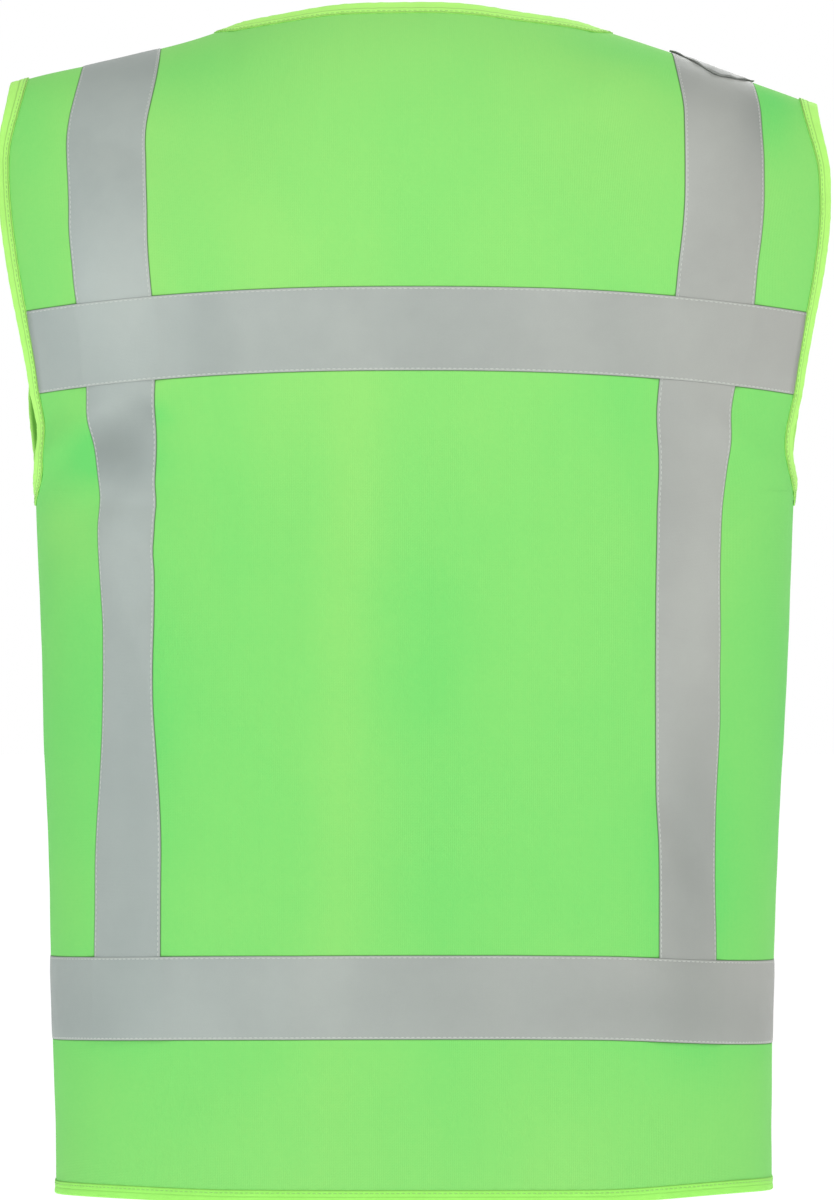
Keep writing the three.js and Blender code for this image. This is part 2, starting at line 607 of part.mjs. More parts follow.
function slider() {
  const innerPlate = TEETH_INNER_Y + ZIP_CLEARANCE;
  const back = innerPlate + SLIDER_PLATE;
  const web = SLIDER_WEB / 2;
  const wide = SLIDER_HALF_WIDTH;
  const section = [
    [-wide, PLATE_FACE_Y], [wide, PLATE_FACE_Y], [wide, OUTER_PLATE_Y], [web, OUTER_PLATE_Y],
    [web, innerPlate], [wide, innerPlate], [wide, back], [-wide, back],
    [-wide, innerPlate], [-web, innerPlate], [-web, OUTER_PLATE_Y], [-wide, OUTER_PLATE_Y],
  ];
  const plates = outlineAlongZip(section, zipZ(SLIDER_TOP - SLIDER_LENGTH), zipZ(SLIDER_TOP));
  addMesh('zip_slider', plates, ZIP_PLASTIC);
  const foot = PLATE_FACE_Y - 0.3;
  const reach = PLATE_FACE_Y - BAIL_REACH;
  const low = zipZ(BAIL_MIDDLE - BAIL_LENGTH / 2);
  const high = zipZ(BAIL_MIDDLE + BAIL_LENGTH / 2);
  const arch = [
    [foot, low], [foot, low + BAIL_BAR], [reach + BAIL_BAR, low + 1.6], [reach + BAIL_BAR, high - 1.6],
    [foot, high - BAIL_BAR], [foot, high], [reach + 0.5, high], [reach, high - 1],
    [reach, low + 1], [reach + 0.5, low],
  ];
  addMesh('zip_slider_bail', acrossZip(arch, BAIL_WIDTH / 2), ZIP_PLASTIC);
}

function pull() {
  const top = PULL_THICKNESS / 2 + 0.1;
  const inner = PULL_HALF_WIDTH - PULL_SIDE_BAR;
  const outline = new THREE.Shape();
  outline.moveTo(-PULL_HALF_WIDTH, top);
  outline.lineTo(-PULL_HALF_WIDTH + 0.6, -PULL_LENGTH + PULL_HALF_WIDTH);
  outline.absarc(0, -PULL_LENGTH + PULL_HALF_WIDTH, PULL_HALF_WIDTH - 0.6, Math.PI, 2 * Math.PI, false);
  outline.lineTo(PULL_HALF_WIDTH, top);
  outline.closePath();
  const window = [
    [-inner, -top], [inner, -top], [inner, -PULL_WINDOW], [-inner, -PULL_WINDOW],
  ];
  outline.holes.push(new THREE.Path(window.map(([x, z]) => new THREE.Vector2(x, z))));
  const geometry = new THREE.ExtrudeGeometry(outline, {
    depth: PULL_THICKNESS, bevelEnabled: false, curveSegments: 10,
  });
  geometry.translate(0, 0, -PULL_THICKNESS / 2);
  geometry.rotateX(QUARTER);
  geometry.translate(0, PIVOT_Y, zipZ(PIVOT_HEIGHT));
  addMesh('zip_pull', geometry, ZIP_PLASTIC);
}

// ---- inside the back neck ----
function neckInside() {
  const steps = 5;
  const grid = [];
  for (let i = 0; i <= steps; i += 1) {
    const x = lerp(-LABEL_HALF_WIDTH, LABEL_HALF_WIDTH, i / steps);
    const top = neckEdgeHeight(BACK, x) - BINDING_WIDTH / 2;
    const line = [];
    for (let j = 0; j <= steps; j += 1) {
      const height = lerp(top - LABEL_HEIGHT, top, j / steps);
      const dome = domeOfHeight(x, height);
      const turn = turnAt(Math.abs(x), height);
      const point = bodyPoint(BACK, turn, dome);
      const above = bodyPoint(BACK, turn, dome - 0.01);
      const side = bodyPoint(BACK, turn + 0.01, dome);
      const normal = above.sub(point).cross(side.sub(point)).normalize();
      if (normal.z < 0) normal.negate();
      if (x < 0) {
        point.x = -point.x;
        normal.x = -normal.x;
      }
      line.push({ point, normal });
    }
    grid.push(line);
  }
  addMesh('neck_label', sheet(grid, -LABEL_CLEARANCE - LABEL_THICKNESS, -LABEL_CLEARANCE), LABEL);

  const top = neckEdgeHeight(BACK, LOOP_HALF_LENGTH) - LOOP_TOP_MARGIN;
  const endDome = domeOfHeight(LOOP_HALF_LENGTH, neckEdgeHeight(BACK, LOOP_HALF_LENGTH));
  const wall = bodyPoint(BACK, turnAt(LOOP_HALF_LENGTH, top), endDome).y;
  const outerY = wall - LAYER_GAP - BINDING_THICKNESS - LABEL_CLEARANCE;
  const flatY = outerY - LOOP_STAND;
  const path = [
    [-LOOP_HALF_LENGTH, outerY], [-LOOP_FLAT_HALF_LENGTH, flatY],
    [LOOP_FLAT_HALF_LENGTH, flatY], [LOOP_HALF_LENGTH, outerY],
    [LOOP_HALF_LENGTH, outerY - LOOP_THICKNESS], [LOOP_FLAT_HALF_LENGTH, flatY - LOOP_THICKNESS],
    [-LOOP_FLAT_HALF_LENGTH, flatY - LOOP_THICKNESS], [-LOOP_HALF_LENGTH, outerY - LOOP_THICKNESS],
  ];
  addMesh('hanger_loop', outlineAlongZip(path.reverse(), zipZ(top - LOOP_RIBBON), zipZ(top)), BINDING);
}

panels();
tapes();
armholeBindings();
hemBinding();
neckBinding();
zipChains();
zipEnds();
slider();
pull();
neckInside();

export default group;
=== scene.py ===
"""A high visibility vest: cloth panels, reflective tape, bound edges, stitching and a front zip.

Metres, +Z up. The wearer faces -Y and the wearer's left is +X. The origin is the middle of the
neck opening, at the height of the neck's side points.
"""
import math

import bmesh
import bpy
import numpy as np
from bpy.props import FloatProperty, FloatVectorProperty, IntProperty, PointerProperty
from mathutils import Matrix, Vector


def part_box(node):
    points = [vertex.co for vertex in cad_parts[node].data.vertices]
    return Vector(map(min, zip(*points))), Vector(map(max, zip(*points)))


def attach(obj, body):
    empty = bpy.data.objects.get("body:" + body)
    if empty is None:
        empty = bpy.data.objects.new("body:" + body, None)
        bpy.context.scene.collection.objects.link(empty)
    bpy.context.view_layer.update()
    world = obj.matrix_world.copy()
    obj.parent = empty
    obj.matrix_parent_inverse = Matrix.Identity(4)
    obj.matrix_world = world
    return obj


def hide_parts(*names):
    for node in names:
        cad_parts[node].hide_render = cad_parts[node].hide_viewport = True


bl_info = {
    "name": "High Visibility Vest",
    "version": (1, 0, 0),
    "blender": (4, 5, 0),
    "location": "View3D > Sidebar > Vest",
    "description": "Dresses the vest's frame with cloth, tape, bindings, stitches and a zip",
    "category": "Object",
}

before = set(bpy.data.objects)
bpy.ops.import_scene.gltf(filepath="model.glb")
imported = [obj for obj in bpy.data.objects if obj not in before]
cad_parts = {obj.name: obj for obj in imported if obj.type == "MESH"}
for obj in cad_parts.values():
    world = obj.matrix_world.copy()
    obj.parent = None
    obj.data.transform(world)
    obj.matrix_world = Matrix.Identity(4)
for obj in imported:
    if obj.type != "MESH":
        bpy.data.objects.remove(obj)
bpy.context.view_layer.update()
MM = 0.001
BACK = 1
FRONT = -1
QUARTER = math.pi / 2
HANDS = ("left", "right")
SIGN = {"left": 1, "right": -1}
SETTLE_STEPS = 9
HAIR = 0.05 * MM
SEAM_GAP = 0.02 * MM
WIDEST_STEEP = 4
PATH_STEP = 3.5 * MM
STITCH_INSET = 1.8 * MM
SHARP_ANGLE = math.radians(40)
FULL_TURN = 2 * math.pi


def node_low(name):
    """Lowest corner of a frame node."""
    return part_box(name)[0]


def node_high(name):
    """Highest corner of a frame node."""
    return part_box(name)[1]


def size(name, default, about):
    """A length property in metres."""
    return FloatProperty(
        name=name, description=about, default=default, unit="LENGTH", precision=5
    )


def colour(name, default, about):
    """A linear colour property."""
    return FloatVectorProperty(
        name=name, description=about, default=default, size=3, subtype="COLOR",
        min=0, max=1,
    )


# ---- what a user would change ----
class VestOutline(bpy.types.PropertyGroup):
    """The garment's outline, as it hangs on a body."""

    neck_point: size("Neck point", -node_low("back_panel").z, "Hem to neck side points")
    hem_half: size("Hem half width", 0.2065, "Half width at the hem")
    chest_half: size("Chest half width", 0.2175, "Half width at the underarm")
    bulge_out: size("Shoulder bulge", 0.0325, "Body under the armholes past the chest")
    bulge_height: size("Bulge height", 0.56, "Height where the bulge is full")
    shoulder_out: size("Shoulder out", 0.0145, "Shoulder tip past the chest")
    shoulder_drop: size("Shoulder drop", 0.039, "Neck side point to shoulder tip")
    shoulder_lean: size("Shoulder lean", 0.005, "How much lower the right tip hangs")
    armhole_dip: size("Armhole dip", 0.0034, "Edge draws in above the underarm")
    gape: size("Front gape", 0.0115, "Front armhole edge past the back one above the underarm")
    armhole_out: size("Armhole out", 0.020, "Edge past the chest at its widest")
    chest_level: size("Chest level", 0.398, "Hem to where the body starts to widen")
    underarm: size("Underarm", 0.407, "Hem to underarm")
    waist_sag: size("Waist sag", 0.003, "How much lower the waist tape lies on the right side")
    hem_lift: size("Hem lift", 0.0045, "How far the hem rises at the right side")
    neck_half: size("Neck half width", 0.104, "Half width of the neck opening")
    neck_arch: size("Neck arch", 0.026, "Arch of the ridge over the neck")
    neck_rise: size("Back neck rise", 0.0145, "Back neck above its side points")
    neck_drop: size("Front neck drop", 0.124, "Point of the front neck")
    hem_depth: size("Hem depth", 0.120, "Back depth at the hem")
    back_depth: size("Back depth", 0.130, "Back depth at the shoulder blades")
    front_depth: size("Front depth", 0.132, "Front depth")
    round_height: size("Shoulder round", 0.150, "Height of the rounding to the ridge")
    drape: size("Drape", 0.0026, "How far the cloth's slow waves stand out")


class VestCloth(bpy.types.PropertyGroup):
    """Cloth, tape and binding."""

    panel: size("Panel thickness", 0.0006, "Thickness of the knitted panels")
    tape: size("Tape thickness", 0.0004, "Thickness of the reflective tape")
    binding: size("Binding thickness", 0.0005, "Thickness of the bindings")
    tape_width: size("Tape width", 0.0478, "Width of the tape rings")
    waist: size("Waist tape height", 0.0930, "Hem to the waist tape")
    chest: size("Chest tape height", 0.4751, "Hem to the chest tape")
    binding_width: size("Binding width", 0.009, "Width of the bindings")
    neck_width: size("Neck binding width", 0.0125, "Width of the neck binding")
    hem_width: size("Hem width", 0.0068, "Width of the hem")
    stitch_pitch: size("Stitch pitch", 0.0030, "From one stitch to the next")
    stitch_length: size("Stitch length", 0.0023, "Length of one stitch")
    thread: size("Thread width", 0.00042, "Width of the thread")
    cell: size("Cell", 0.0045, "Size of the cloth's mesh cells")
    cloth_colour: colour("Cloth", (0.178, 0.520, 0.122), "Fluorescent green cloth")
    tape_colour: colour("Tape", (0.322, 0.338, 0.315), "Grey reflective tape")
    binding_colour: colour("Binding", (0.345, 0.70, 0.142), "Yellow green binding")
    hem_colour: colour("Hem", (0.262, 0.66, 0.110), "Yellow green hem")
    thread_colour: colour("Thread", (0.24, 0.50, 0.12), "Green thread")
    pale_thread_colour: colour("Pale thread", (0.46, 0.48, 0.45), "Thread on the tape")


class VestZip(bpy.types.PropertyGroup):
    """The front zip."""

    edge_x: size("Front edge", 0.009, "Front panel edge to the centre line")
    tooth_pitch: size("Tooth pitch", 0.0028, "From one tooth to the next on one side")
    plastic_colour: colour("Plastic", (0.24, 0.62, 0.15), "Moulded green plastic")
    tape_colour: colour("Zip tape", (0.27, 0.71, 0.17), "Woven zip tape")
    label_colour: colour("Label", (0.86, 0.86, 0.83), "Blank woven label")


class VestStage(bpy.types.PropertyGroup):
    """Camera, light and floor."""

    distance: size("Camera distance", 9.0, "Camera to the middle of the vest")
    view_width: size("View width", 0.4796, "Width seen at the back's depth")
    centre_x: size("View centre X", -0.0017, "Sideways place of the view's centre")
    centre_height: size("View centre height", 0.344, "Hem to the view's centre")
    floor_drop: size("Floor drop", 0.25, "Hem to the floor")
    world: FloatProperty(name="World light", description="Strength of the even light",
                         default=0.46, min=0)
    seed: IntProperty(name="Seed", description="Seed of the cloth's waves", default=7)


# ---- the body that the cloth hangs on ----
# Width of a brace from edge to edge at the shoulder, measured across the back.
BRACE_SHOULDER_WIDTH = 0.0439
# How the braces change below a height: by how much, from which height, over what length.
BRACE_INNER_STEPS = {
    "left": [
        (-0.0022, 0.56, 0.06), (0.0062, 0.45, 0.05), (0.0012, 0.40, 0.03), (-0.0042, 0.20, 0.09),
    ],
    "right": [
        (-0.0030, 0.53, 0.05), (-0.0036, 0.47, 0.04), (0.0020, 0.425, 0.03), (-0.0010, 0.39, 0.03),
        (-0.0010, 0.34, 0.06), (0.0022, 0.19, 0.08),
    ],
}
BRACE_WIDTH_STEPS = {
    "left": [
        (0.0011, 0.598, 0.03), (-0.0012, 0.53, 0.03), (-0.0108, 0.385, 0.145),
        (-0.0034, 0.32, 0.07), (0.0080, 0.19, 0.10),
    ],
    "right": [
        (0.0011, 0.598, 0.03), (0.0012, 0.47, 0.06), (-0.0090, 0.38, 0.13), (0.0008, 0.27, 0.04),
        (-0.0050, 0.20, 0.08),
    ],
}

# Soft folds in the back: place, lean in degrees, length, width and height.
BACK_FOLDS = (
    (0.195, 0.440, -38, 0.040, 0.0100, 0.0034),
    (0.180, 0.405, -50, 0.045, 0.0110, -0.0026),
    (-0.190, 0.430, 40, 0.038, 0.0100, 0.0030),
    (0.054, 0.385, 96, 0.100, 0.0160, 0.0030),
    (0.150, 0.400, 8, 0.026, 0.0080, -0.0026),
    (0.150, 0.372, 30, 0.030, 0.0075, 0.0022),
    (-0.160, 0.300, 110, 0.060, 0.0120, 0.0024),
    (0.148, 0.300, 70, 0.070, 0.0120, 0.0024),
    (-0.150, 0.215, 60, 0.050, 0.0110, -0.0024),
    (-0.120, 0.640, -30, 0.060, 0.0160, 0.0028),
    (0.165, 0.600, 12, 0.040, 0.0120, -0.0020),
    (0.070, 0.115, 95, 0.050, 0.0100, 0.0016),
    (-0.060, 0.110, 84, 0.050, 0.0100, -0.0015),
    (0.140, 0.050, 20, 0.050, 0.0120, 0.0020),
)

# Painted shade and light in soft patches on the back: place, lean in degrees, length, width and
# amount.
BACK_PAINTED_SHADE = (
    (-0.205, 0.634, 100, 0.035, 0.018, -0.90),
    (-0.128, 0.656, 18, 0.055, 0.013, -0.60),
    (0.123, 0.652, -16, 0.045, 0.014, -0.35),
    (0.222, 0.610, 90, 0.030, 0.014, -0.30),
    (0.176, 0.432, -36, 0.040, 0.013, -0.60),
    (0.200, 0.385, 60, 0.030, 0.020, 0.35),
    (0.169, 0.428, 14, 0.026, 0.0165, -0.85),
    (0.150, 0.452, 30, 0.014, 0.006, -0.40),
    (0.168, 0.530, 90, 0.075, 0.030, 0.55),
    (-0.159, 0.190, 90, 0.080, 0.022, -0.70),
    (-0.160, 0.325, 100, 0.050, 0.016, 0.25),
    (0.160, 0.260, 90, 0.110, 0.022, -0.35),
    (-0.150, 0.105, 5, 0.070, 0.022, -0.40),
    (0.185, 0.110, 0, 0.050, 0.030, -0.25),
    (0.040, 0.300, 92, 0.230, 0.016, 0.30),
    (-0.010, 0.300, 88, 0.240, 0.030, -0.30),
    (-0.125, 0.440, 80, 0.120, 0.020, -0.25),
    (0.100, 0.560, 60, 0.080, 0.030, 0.25),
    (0.110, 0.440, 84, 0.110, 0.018, -0.25),
)


def below(height, steps):
    """The sum of changes that set in below their heights."""
    return sum(amount * smooth(1 - (height - start) / length) for amount, start, length in steps)


def smooth(value):
    """Smooth step from 0 to 1."""
    value = np.clip(value, 0.0, 1.0)
    return value * value * (3 - 2 * value)


def depth_of_dome(dome):
    """Depth below the ridge, in shares of the rounding's height."""
    dome = np.abs(dome)
    return np.where(dome <= QUARTER, 1 - np.cos(np.minimum(dome, QUARTER)), 1 + dome - QUARTER)


def dome_of_depth(depth):
    """The dome angle at a depth below the ridge."""
    inside = np.arccos(np.clip(1 - depth, -1, 1))
    return np.where(depth <= 1, inside, QUARTER + depth - 1)


def waves(points, length, seed, count=7):
    """Slow waves of about one wavelength, from -1 to 1."""
    draw = np.random.RandomState(seed)
    total = np.zeros(points.shape[:-1])
    for _ in range(count):
        direction = draw.normal(size=3)
        direction /= np.linalg.norm(direction)
        stretch = draw.uniform(0.75, 1.3)
        phase = draw.uniform(0, 2 * math.pi)
        total += np.sin(points @ direction * (2 * math.pi / (length * stretch)) + phase)
    return total / count ** 0.5 / 1.6


class Body:
    """The surface of the cloth's inner face, by turn angle round the body and dome angle."""

    power = 2.6

    def __init__(self, context):
        self.o = context.scene.vest_outline
        self.c = context.scene.vest_cloth
        self.zip_edge = context.scene.vest_zip.edge_x
        self.seed = context.scene.vest_stage.seed

    def half_width(self, height):
        o = self.o
        lower = o.hem_half + (o.chest_half - o.hem_half) * smooth(height / o.chest_level)
        rise = (height - o.chest_level) / (o.bulge_height - o.chest_level)
        return lower + o.bulge_out * smooth(rise)

    def depth(self, turn, height):
        o = self.o
        back = o.hem_depth + (o.back_depth - o.hem_depth) * smooth(height / 0.45)
        return np.where(np.cos(turn) >= 0, back, o.front_depth)

    def ridge(self, x):
        o = self.o
        share = np.abs(x) / o.neck_half
        slope = o.shoulder_drop / (o.chest_half + o.shoulder_out - o.neck_half)
        outside = o.neck_point + (o.neck_half - np.abs(x)) * slope
        return np.where(share < 1, o.neck_point + o.neck_arch * (1 - share ** 2), outside)

    def section_x(self, turn):
        return np.sign(np.sin(turn)) * np.abs(np.sin(turn)) ** (2 / self.power)

    def section_y(self, turn):
        return np.sign(np.cos(turn)) * np.abs(np.cos(turn)) ** (2 / self.power)

    def turn_at(self, x, height):
        """The back's turn angle for a distance from the centre line."""
        share = np.clip(x / self.half_width(height), 0, 1)
        return np.arcsin(share ** (self.power / 2))

    def dome_at(self, x, height):
        return dome_of_depth(np.maximum(0, self.ridge(x) - height) / self.o.round_height)

    def base(self, turn, dome):
        """Points of the plain body, before the drape."""
        flip = dome < 0
        turn = np.where(flip, np.pi - turn, turn)
        dome = np.abs(dome)
        height = self.o.neck_point - self.o.round_height * depth_of_dome(dome)
        x = np.zeros_like(height)
        for _ in range(SETTLE_STEPS):
            x = self.half_width(height) * self.section_x(turn)
            height = self.ridge(x) - self.o.round_height * depth_of_dome(dome)
        inward = np.where(dome < QUARTER, np.sin(dome), 1.0)
        y = self.depth(turn, height) * self.section_y(turn) * inward
        return np.stack([x, y, height - self.o.neck_point], axis=-1)

    def frame_at(self, turn, dome):
        """Points with their outward normals and their changes with turn and dome."""
        step = 0.002
        point = self.base(turn, dome)
        across = (self.base(turn + step, dome) - self.base(turn - step, dome)) / (2 * step)
        down = (self.base(turn, dome + step) - self.base(turn, dome - step)) / (2 * step)
        normal = np.cross(across, down)
        normal /= np.linalg.norm(normal, axis=-1, keepdims=True)
        outward = point * np.array([0.2, 1.0, 0.0]) + np.array([0.0, 0.0, 0.02])
        facing = np.sum(normal * outward, axis=-1, keepdims=True)
        return point, np.where(facing < 0, -normal, normal), across, down

    def drape(self, point):
        """How far the cloth's waves stand off the plain body."""
        height = point[..., 2] + self.o.neck_point
        low = smooth((height - 0.02) / 0.12)
        flat = point * np.array([1.0, 1.0, 0.45])
        slow = waves(flat, 0.19, self.seed) * self.o.drape * (0.6 + 0.4 * low)
        quick = waves(flat, 0.062, self.seed + 1) * self.o.drape * 0.22
        near_zip = smooth((np.abs(point[..., 0]) - 0.02) / 0.05)
        at_front = smooth(-point[..., 1] / 0.05)
        fine = waves(point * np.array([0.6, 0.6, 1.0]), 0.040, self.seed + 2, 9)
        fine = fine * self.o.drape * 0.09
        stand = slow + quick + fine + self.patches(point, BACK_FOLDS)
        return stand * (1 - at_front * (1 - near_zip))

    def patches(self, point, table):
        """The sum of soft patches on the back, from a table of places and amounts."""
        total = 0.0
        for x, height, lean, length, width, lift in table:
            along = np.array([math.cos(math.radians(lean)), math.sin(math.radians(lean))])
            away_x = point[..., 0] - x
            away_z = point[..., 2] + self.o.neck_point - height
            run = (away_x * along[0] + away_z * along[1]) / length
            off = (away_z * along[0] - away_x * along[1]) / width
            total = total + lift * np.exp(-(run ** 2) - off ** 2)
        return total * smooth(point[..., 1] / 0.03)

    def hang(self, point):
        """The whole vest hangs a little lower on the right shoulder."""
        o = self.o
        across = smooth((np.abs(point[..., 0]) - 0.12) / 0.11) * np.sign(point[..., 0])
        high = smooth((point[..., 2] + o.neck_point - 0.50) / 0.12)
        moved = point.copy()
        moved[..., 2] += o.shoulder_lean * across * high * np.where(point[..., 0] > 0, 1.4, 1.0)
        height = point[..., 2] + o.neck_point
        waist = np.exp(-(((height - self.c.waist - 0.02) / 0.05) ** 2))
        side = smooth((np.abs(point[..., 0]) - 0.10) / 0.10)
        right = point[..., 0] < 0
        moved[..., 2] -= o.waist_sag * waist * side * right
        moved[..., 2] += o.hem_lift * side * np.where(right, 1.0, 0.5) * smooth(1 - height / 0.08)
        neck = smooth((-point[..., 0] - 0.05) / 0.05) * smooth((0.165 + point[..., 0]) / 0.06)
        moved[..., 2] += 0.0022 * neck * high
        return moved

    def place(self, turn, dome, lift):
        """Points at a lift above the draped cloth's inner face."""
        point, normal, _, _ = self.frame_at(turn, dome)
        lift = np.asarray(lift) + self.drape(point)
        return self.hang(point + normal * lift[..., None])

    # columns: turn angles by height
    def armhole_x(self, height, side, hand):
        o = self.o
        above = height - o.chest_level
        tip_height = self.ridge(np.array(o.chest_half + o.shoulder_out))
        drawn = smooth((height - o.underarm) / 0.022)
        drawn = drawn * smooth((o.underarm + 0.060 - height) / 0.035)
        dip = o.chest_half - o.armhole_dip * drawn
        flare, run = (0.040, 0.155) if hand == "left" else (0.030, 0.150)
        out = smooth((above - flare) / run)
        tip = smooth(1 - (tip_height - height) / 0.045)
        edge = dip + o.armhole_out * out - (o.armhole_out - o.shoulder_out) * tip
        if side == BACK:
            return edge
        slack = np.maximum(0, self.half_width(height) - dip)
        reach = o.gape * (1.15 if hand == "left" else 0.5)
        gape = reach * (1 - np.exp(-0.85 * slack / reach))
        return edge + gape * smooth((o.underarm + 0.080 - height) / 0.05)

    def edge_turn(self, height, side, hand):
        above = self.turn_at(self.armhole_x(height, side, hand), height)
        return np.where(height <= self.o.underarm, QUARTER, above)

    def binding_turn(self, height, side, hand):
        turn = self.edge_turn(height, side, hand)
        step = 0.02
        wide = self.half_width(height) * (self.section_x(turn) - self.section_x(turn - step))
        deep = self.o.back_depth * (self.section_y(turn - step) - self.section_y(turn))
        return turn - np.minimum(0.6, step * self.c.binding_width / np.hypot(wide, deep))

    def brace_inner_x(self, height, hand):
        o = self.o
        out = smooth((height - o.chest_level - 0.032) / 0.130)
        near, reach, draw = (0.014, 0.060, 0.0088) if hand == "left" else (0.010, 0.040, 0.0068)
        back = smooth(1 - (o.neck_point - near - height) / reach)
        plain = o.chest_half - 0.0735 + 0.011 * out - draw * back
        return plain + below(height, BRACE_INNER_STEPS[hand])

    def brace_outer_x(self, height, hand):
        width = BRACE_SHOULDER_WIDTH + below(height, BRACE_WIDTH_STEPS[hand])
        return self.brace_inner_x(height, hand) + width

    def column(self, name, height, hand, side=BACK):
        """The turn angle of a named line that runs up the body."""
        if name == "centre":
            return np.zeros_like(height)
        if name == "zip":
            return self.turn_at(self.zip_edge, height)
        if name == "neck":
            return self.turn_at(self.o.neck_half, height)
        if name == "brace_inner":
            return self.turn_at(self.brace_inner_x(height, hand), height)
        if name == "brace_outer":
            return self.turn_at(self.brace_outer_x(height, hand), height)
        edge = self.binding_turn if name == "binding" else self.edge_turn
        return edge(height, side, hand)

    def inside_brace(self, point, across):
        """How far points lie inside a brace's inner edge and its outer edge, along the cloth."""
        height = point[..., 2] + self.o.neck_point
        x = np.abs(point[..., 0])
        left = point[..., 0] > 0
        steep = np.linalg.norm(across, axis=-1) / np.maximum(np.abs(across[..., 0]), 0.02)
        steep = np.minimum(steep, WIDEST_STEEP)
        inner, outer = (
            np.where(left, line(height, "left"), line(height, "right"))
            for line in (self.brace_inner_x, self.brace_outer_x)
        )
        return (x - inner) * steep, (outer - x) * steep

    def tape_distance(self, turn, dome):
        """Distance along the cloth from the nearest tape edge."""
        point, _, across, _ = self.frame_at(turn, dome)
        height = point[..., 2] + self.o.neck_point
        x = np.abs(point[..., 0])
        nearest = np.full(x.shape, 1.0)
        for inside in self.inside_brace(point, across):
            nearest = np.minimum(nearest, np.where(height > self.c.waist, np.abs(inside), 1.0))
        for name in ("waist_low", "waist_top", "chest_low", "chest_top"):
            nearest = np.minimum(nearest, np.abs(height - self.row(name, BACK, x)))
        return nearest

    # rows: heights by distance from the centre line
    def neck_edge(self, side, x):
        o = self.o
        share = np.abs(x) / o.neck_half
        if side == BACK:
            inside = o.neck_point + o.neck_rise * (1 - share ** 2)
        else:
            inside = o.neck_point - o.neck_drop * (1 - np.minimum(share, 1) ** 1.15)
        return np.where(share < 1, inside, self.ridge(x))

    def row(self, name, side, x):
        """The height of a named line that runs across the body."""
        c = self.c
        share = np.abs(x / self.o.chest_half) ** 2.3
        if name == "hem":
            return np.zeros_like(x)
        if name == "hem_top":
            return np.full_like(x, c.hem_width)
        if name == "waist_low":
            return c.waist - 0.0025 * share
        if name == "waist_top":
            return c.waist + c.tape_width - 0.0025 * share
        if name == "underarm":
            return np.full_like(x, self.o.underarm)
        if name == "underarm_round":
            return np.full_like(x, self.o.underarm + 0.016)
        if name == "chest_low":
            return c.chest - 0.0125 * share
        if name == "chest_top":
            return c.chest + c.tape_width - 0.0125 * share
        return self.neck_edge(side, x)


SEWN_LINES = (0.0003, 0.0012, 0.002, 0.0028, 0.0042)


def spread(length, cell, fine_start=False, fine_end=False):
    """Shares along a stretch, with extra lines close to a sewn end."""
    count = max(2, round(length / cell))
    shares = {k / count for k in range(count + 1)}
    first = SEWN_LINES[-1] / length
    if fine_start:
        shares = {s for s in shares if s == 0 or s > 1.2 * first}
        shares |= {line / length for line in SEWN_LINES}
    if fine_end:
        shares = {s for s in shares if s == 1 or s < 1 - 1.2 * first}
        shares |= {1 - line / length for line in SEWN_LINES}
    return sorted(shares)


class Grid:
    """Crossings of column and row lines on one side of the body, with turn and dome angles."""

    def __init__(self, body, side, columns, rows, hand):
        blocks = []
        for c_index, (c_from, c_to, c_shares) in enumerate(columns):
            c_shares = np.array(c_shares if c_index == 0 else c_shares[1:])
            line = []
            for r_index, (r_from, r_to, r_shares) in enumerate(rows):
                r_shares = np.array(r_shares if r_index == 0 else r_shares[1:])
                across = (c_from, c_to, c_shares)
                line.append(self.block(body, side, across, (r_from, r_to, r_shares), hand))
            blocks.append(np.concatenate(line, axis=2))
        self.turn, self.dome = np.concatenate(blocks, axis=1)
        if side == FRONT:
            self.turn = np.pi - self.turn
        if hand == "right":
            self.turn = -self.turn

    @staticmethod
    def block(body, side, columns, rows, hand):
        """Settles the turn and dome angles where a stretch of columns crosses one of rows."""
        c_from, c_to, across = columns
        r_from, r_to, up = rows
        across = across[:, None] * np.ones(len(up))[None, :]
        up = np.ones(across.shape[0])[:, None] * up[None, :]
        near = np.full(across.shape, body.o.neck_half)
        height = body.row(r_from, side, near) * (1 - up) + body.row(r_to, side, near) * up
        turn = x = near
        for _ in range(SETTLE_STEPS + 4):
            turn = body.column(c_from, height, hand, side) * (1 - across)
            turn = turn + body.column(c_to, height, hand, side) * across
            x = body.half_width(height) * body.section_x(turn)
            low = body.dome_at(x, body.row(r_from, side, x))
            high = body.dome_at(x, body.row(r_to, side, x))
            height = body.ridge(x) - body.o.round_height * depth_of_dome(low * (1 - up) + high * up)
        return np.stack([turn, body.dome_at(x, height)])


# ---- meshes ----
def new_object(name, vertices, faces, material, uv=None, smooth_faces=True):
    """A mesh object at the origin, in the scene."""
    mesh = bpy.data.meshes.new(name)
    mesh.from_pydata([tuple(v) for v in np.asarray(vertices).reshape(-1, 3)], [], faces)
    mesh.validate()
    if uv is not None:
        layer = mesh.uv_layers.new(name="weave")
        corners = np.zeros(len(mesh.loops), np.int32)
        mesh.loops.foreach_get("vertex_index", corners)
        layer.data.foreach_set("uv", np.asarray(uv, np.float32)[corners].ravel())
    if smooth_faces:
        mesh.polygons.foreach_set("use_smooth", [True] * len(mesh.polygons))
    mesh.materials.append(material)
    piece = bpy.data.objects.new(name, mesh)
    bpy.context.scene.collection.objects.link(piece)
    return piece


def signed_volume(points, faces):
    """Positive where the faces point outwards."""
    total = 0.0
    for face in faces:
        a = points[face[0]]
        for k in range(1, len(face) - 1):
            total += np.dot(a, np.cross(points[face[k]], points[face[k + 1]]))
    return total


def outward(points, faces):
    """The faces, turned round if they point inwards."""
    return faces if signed_volume(points, faces) > 0 else [tuple(reversed(f)) for f in faces]


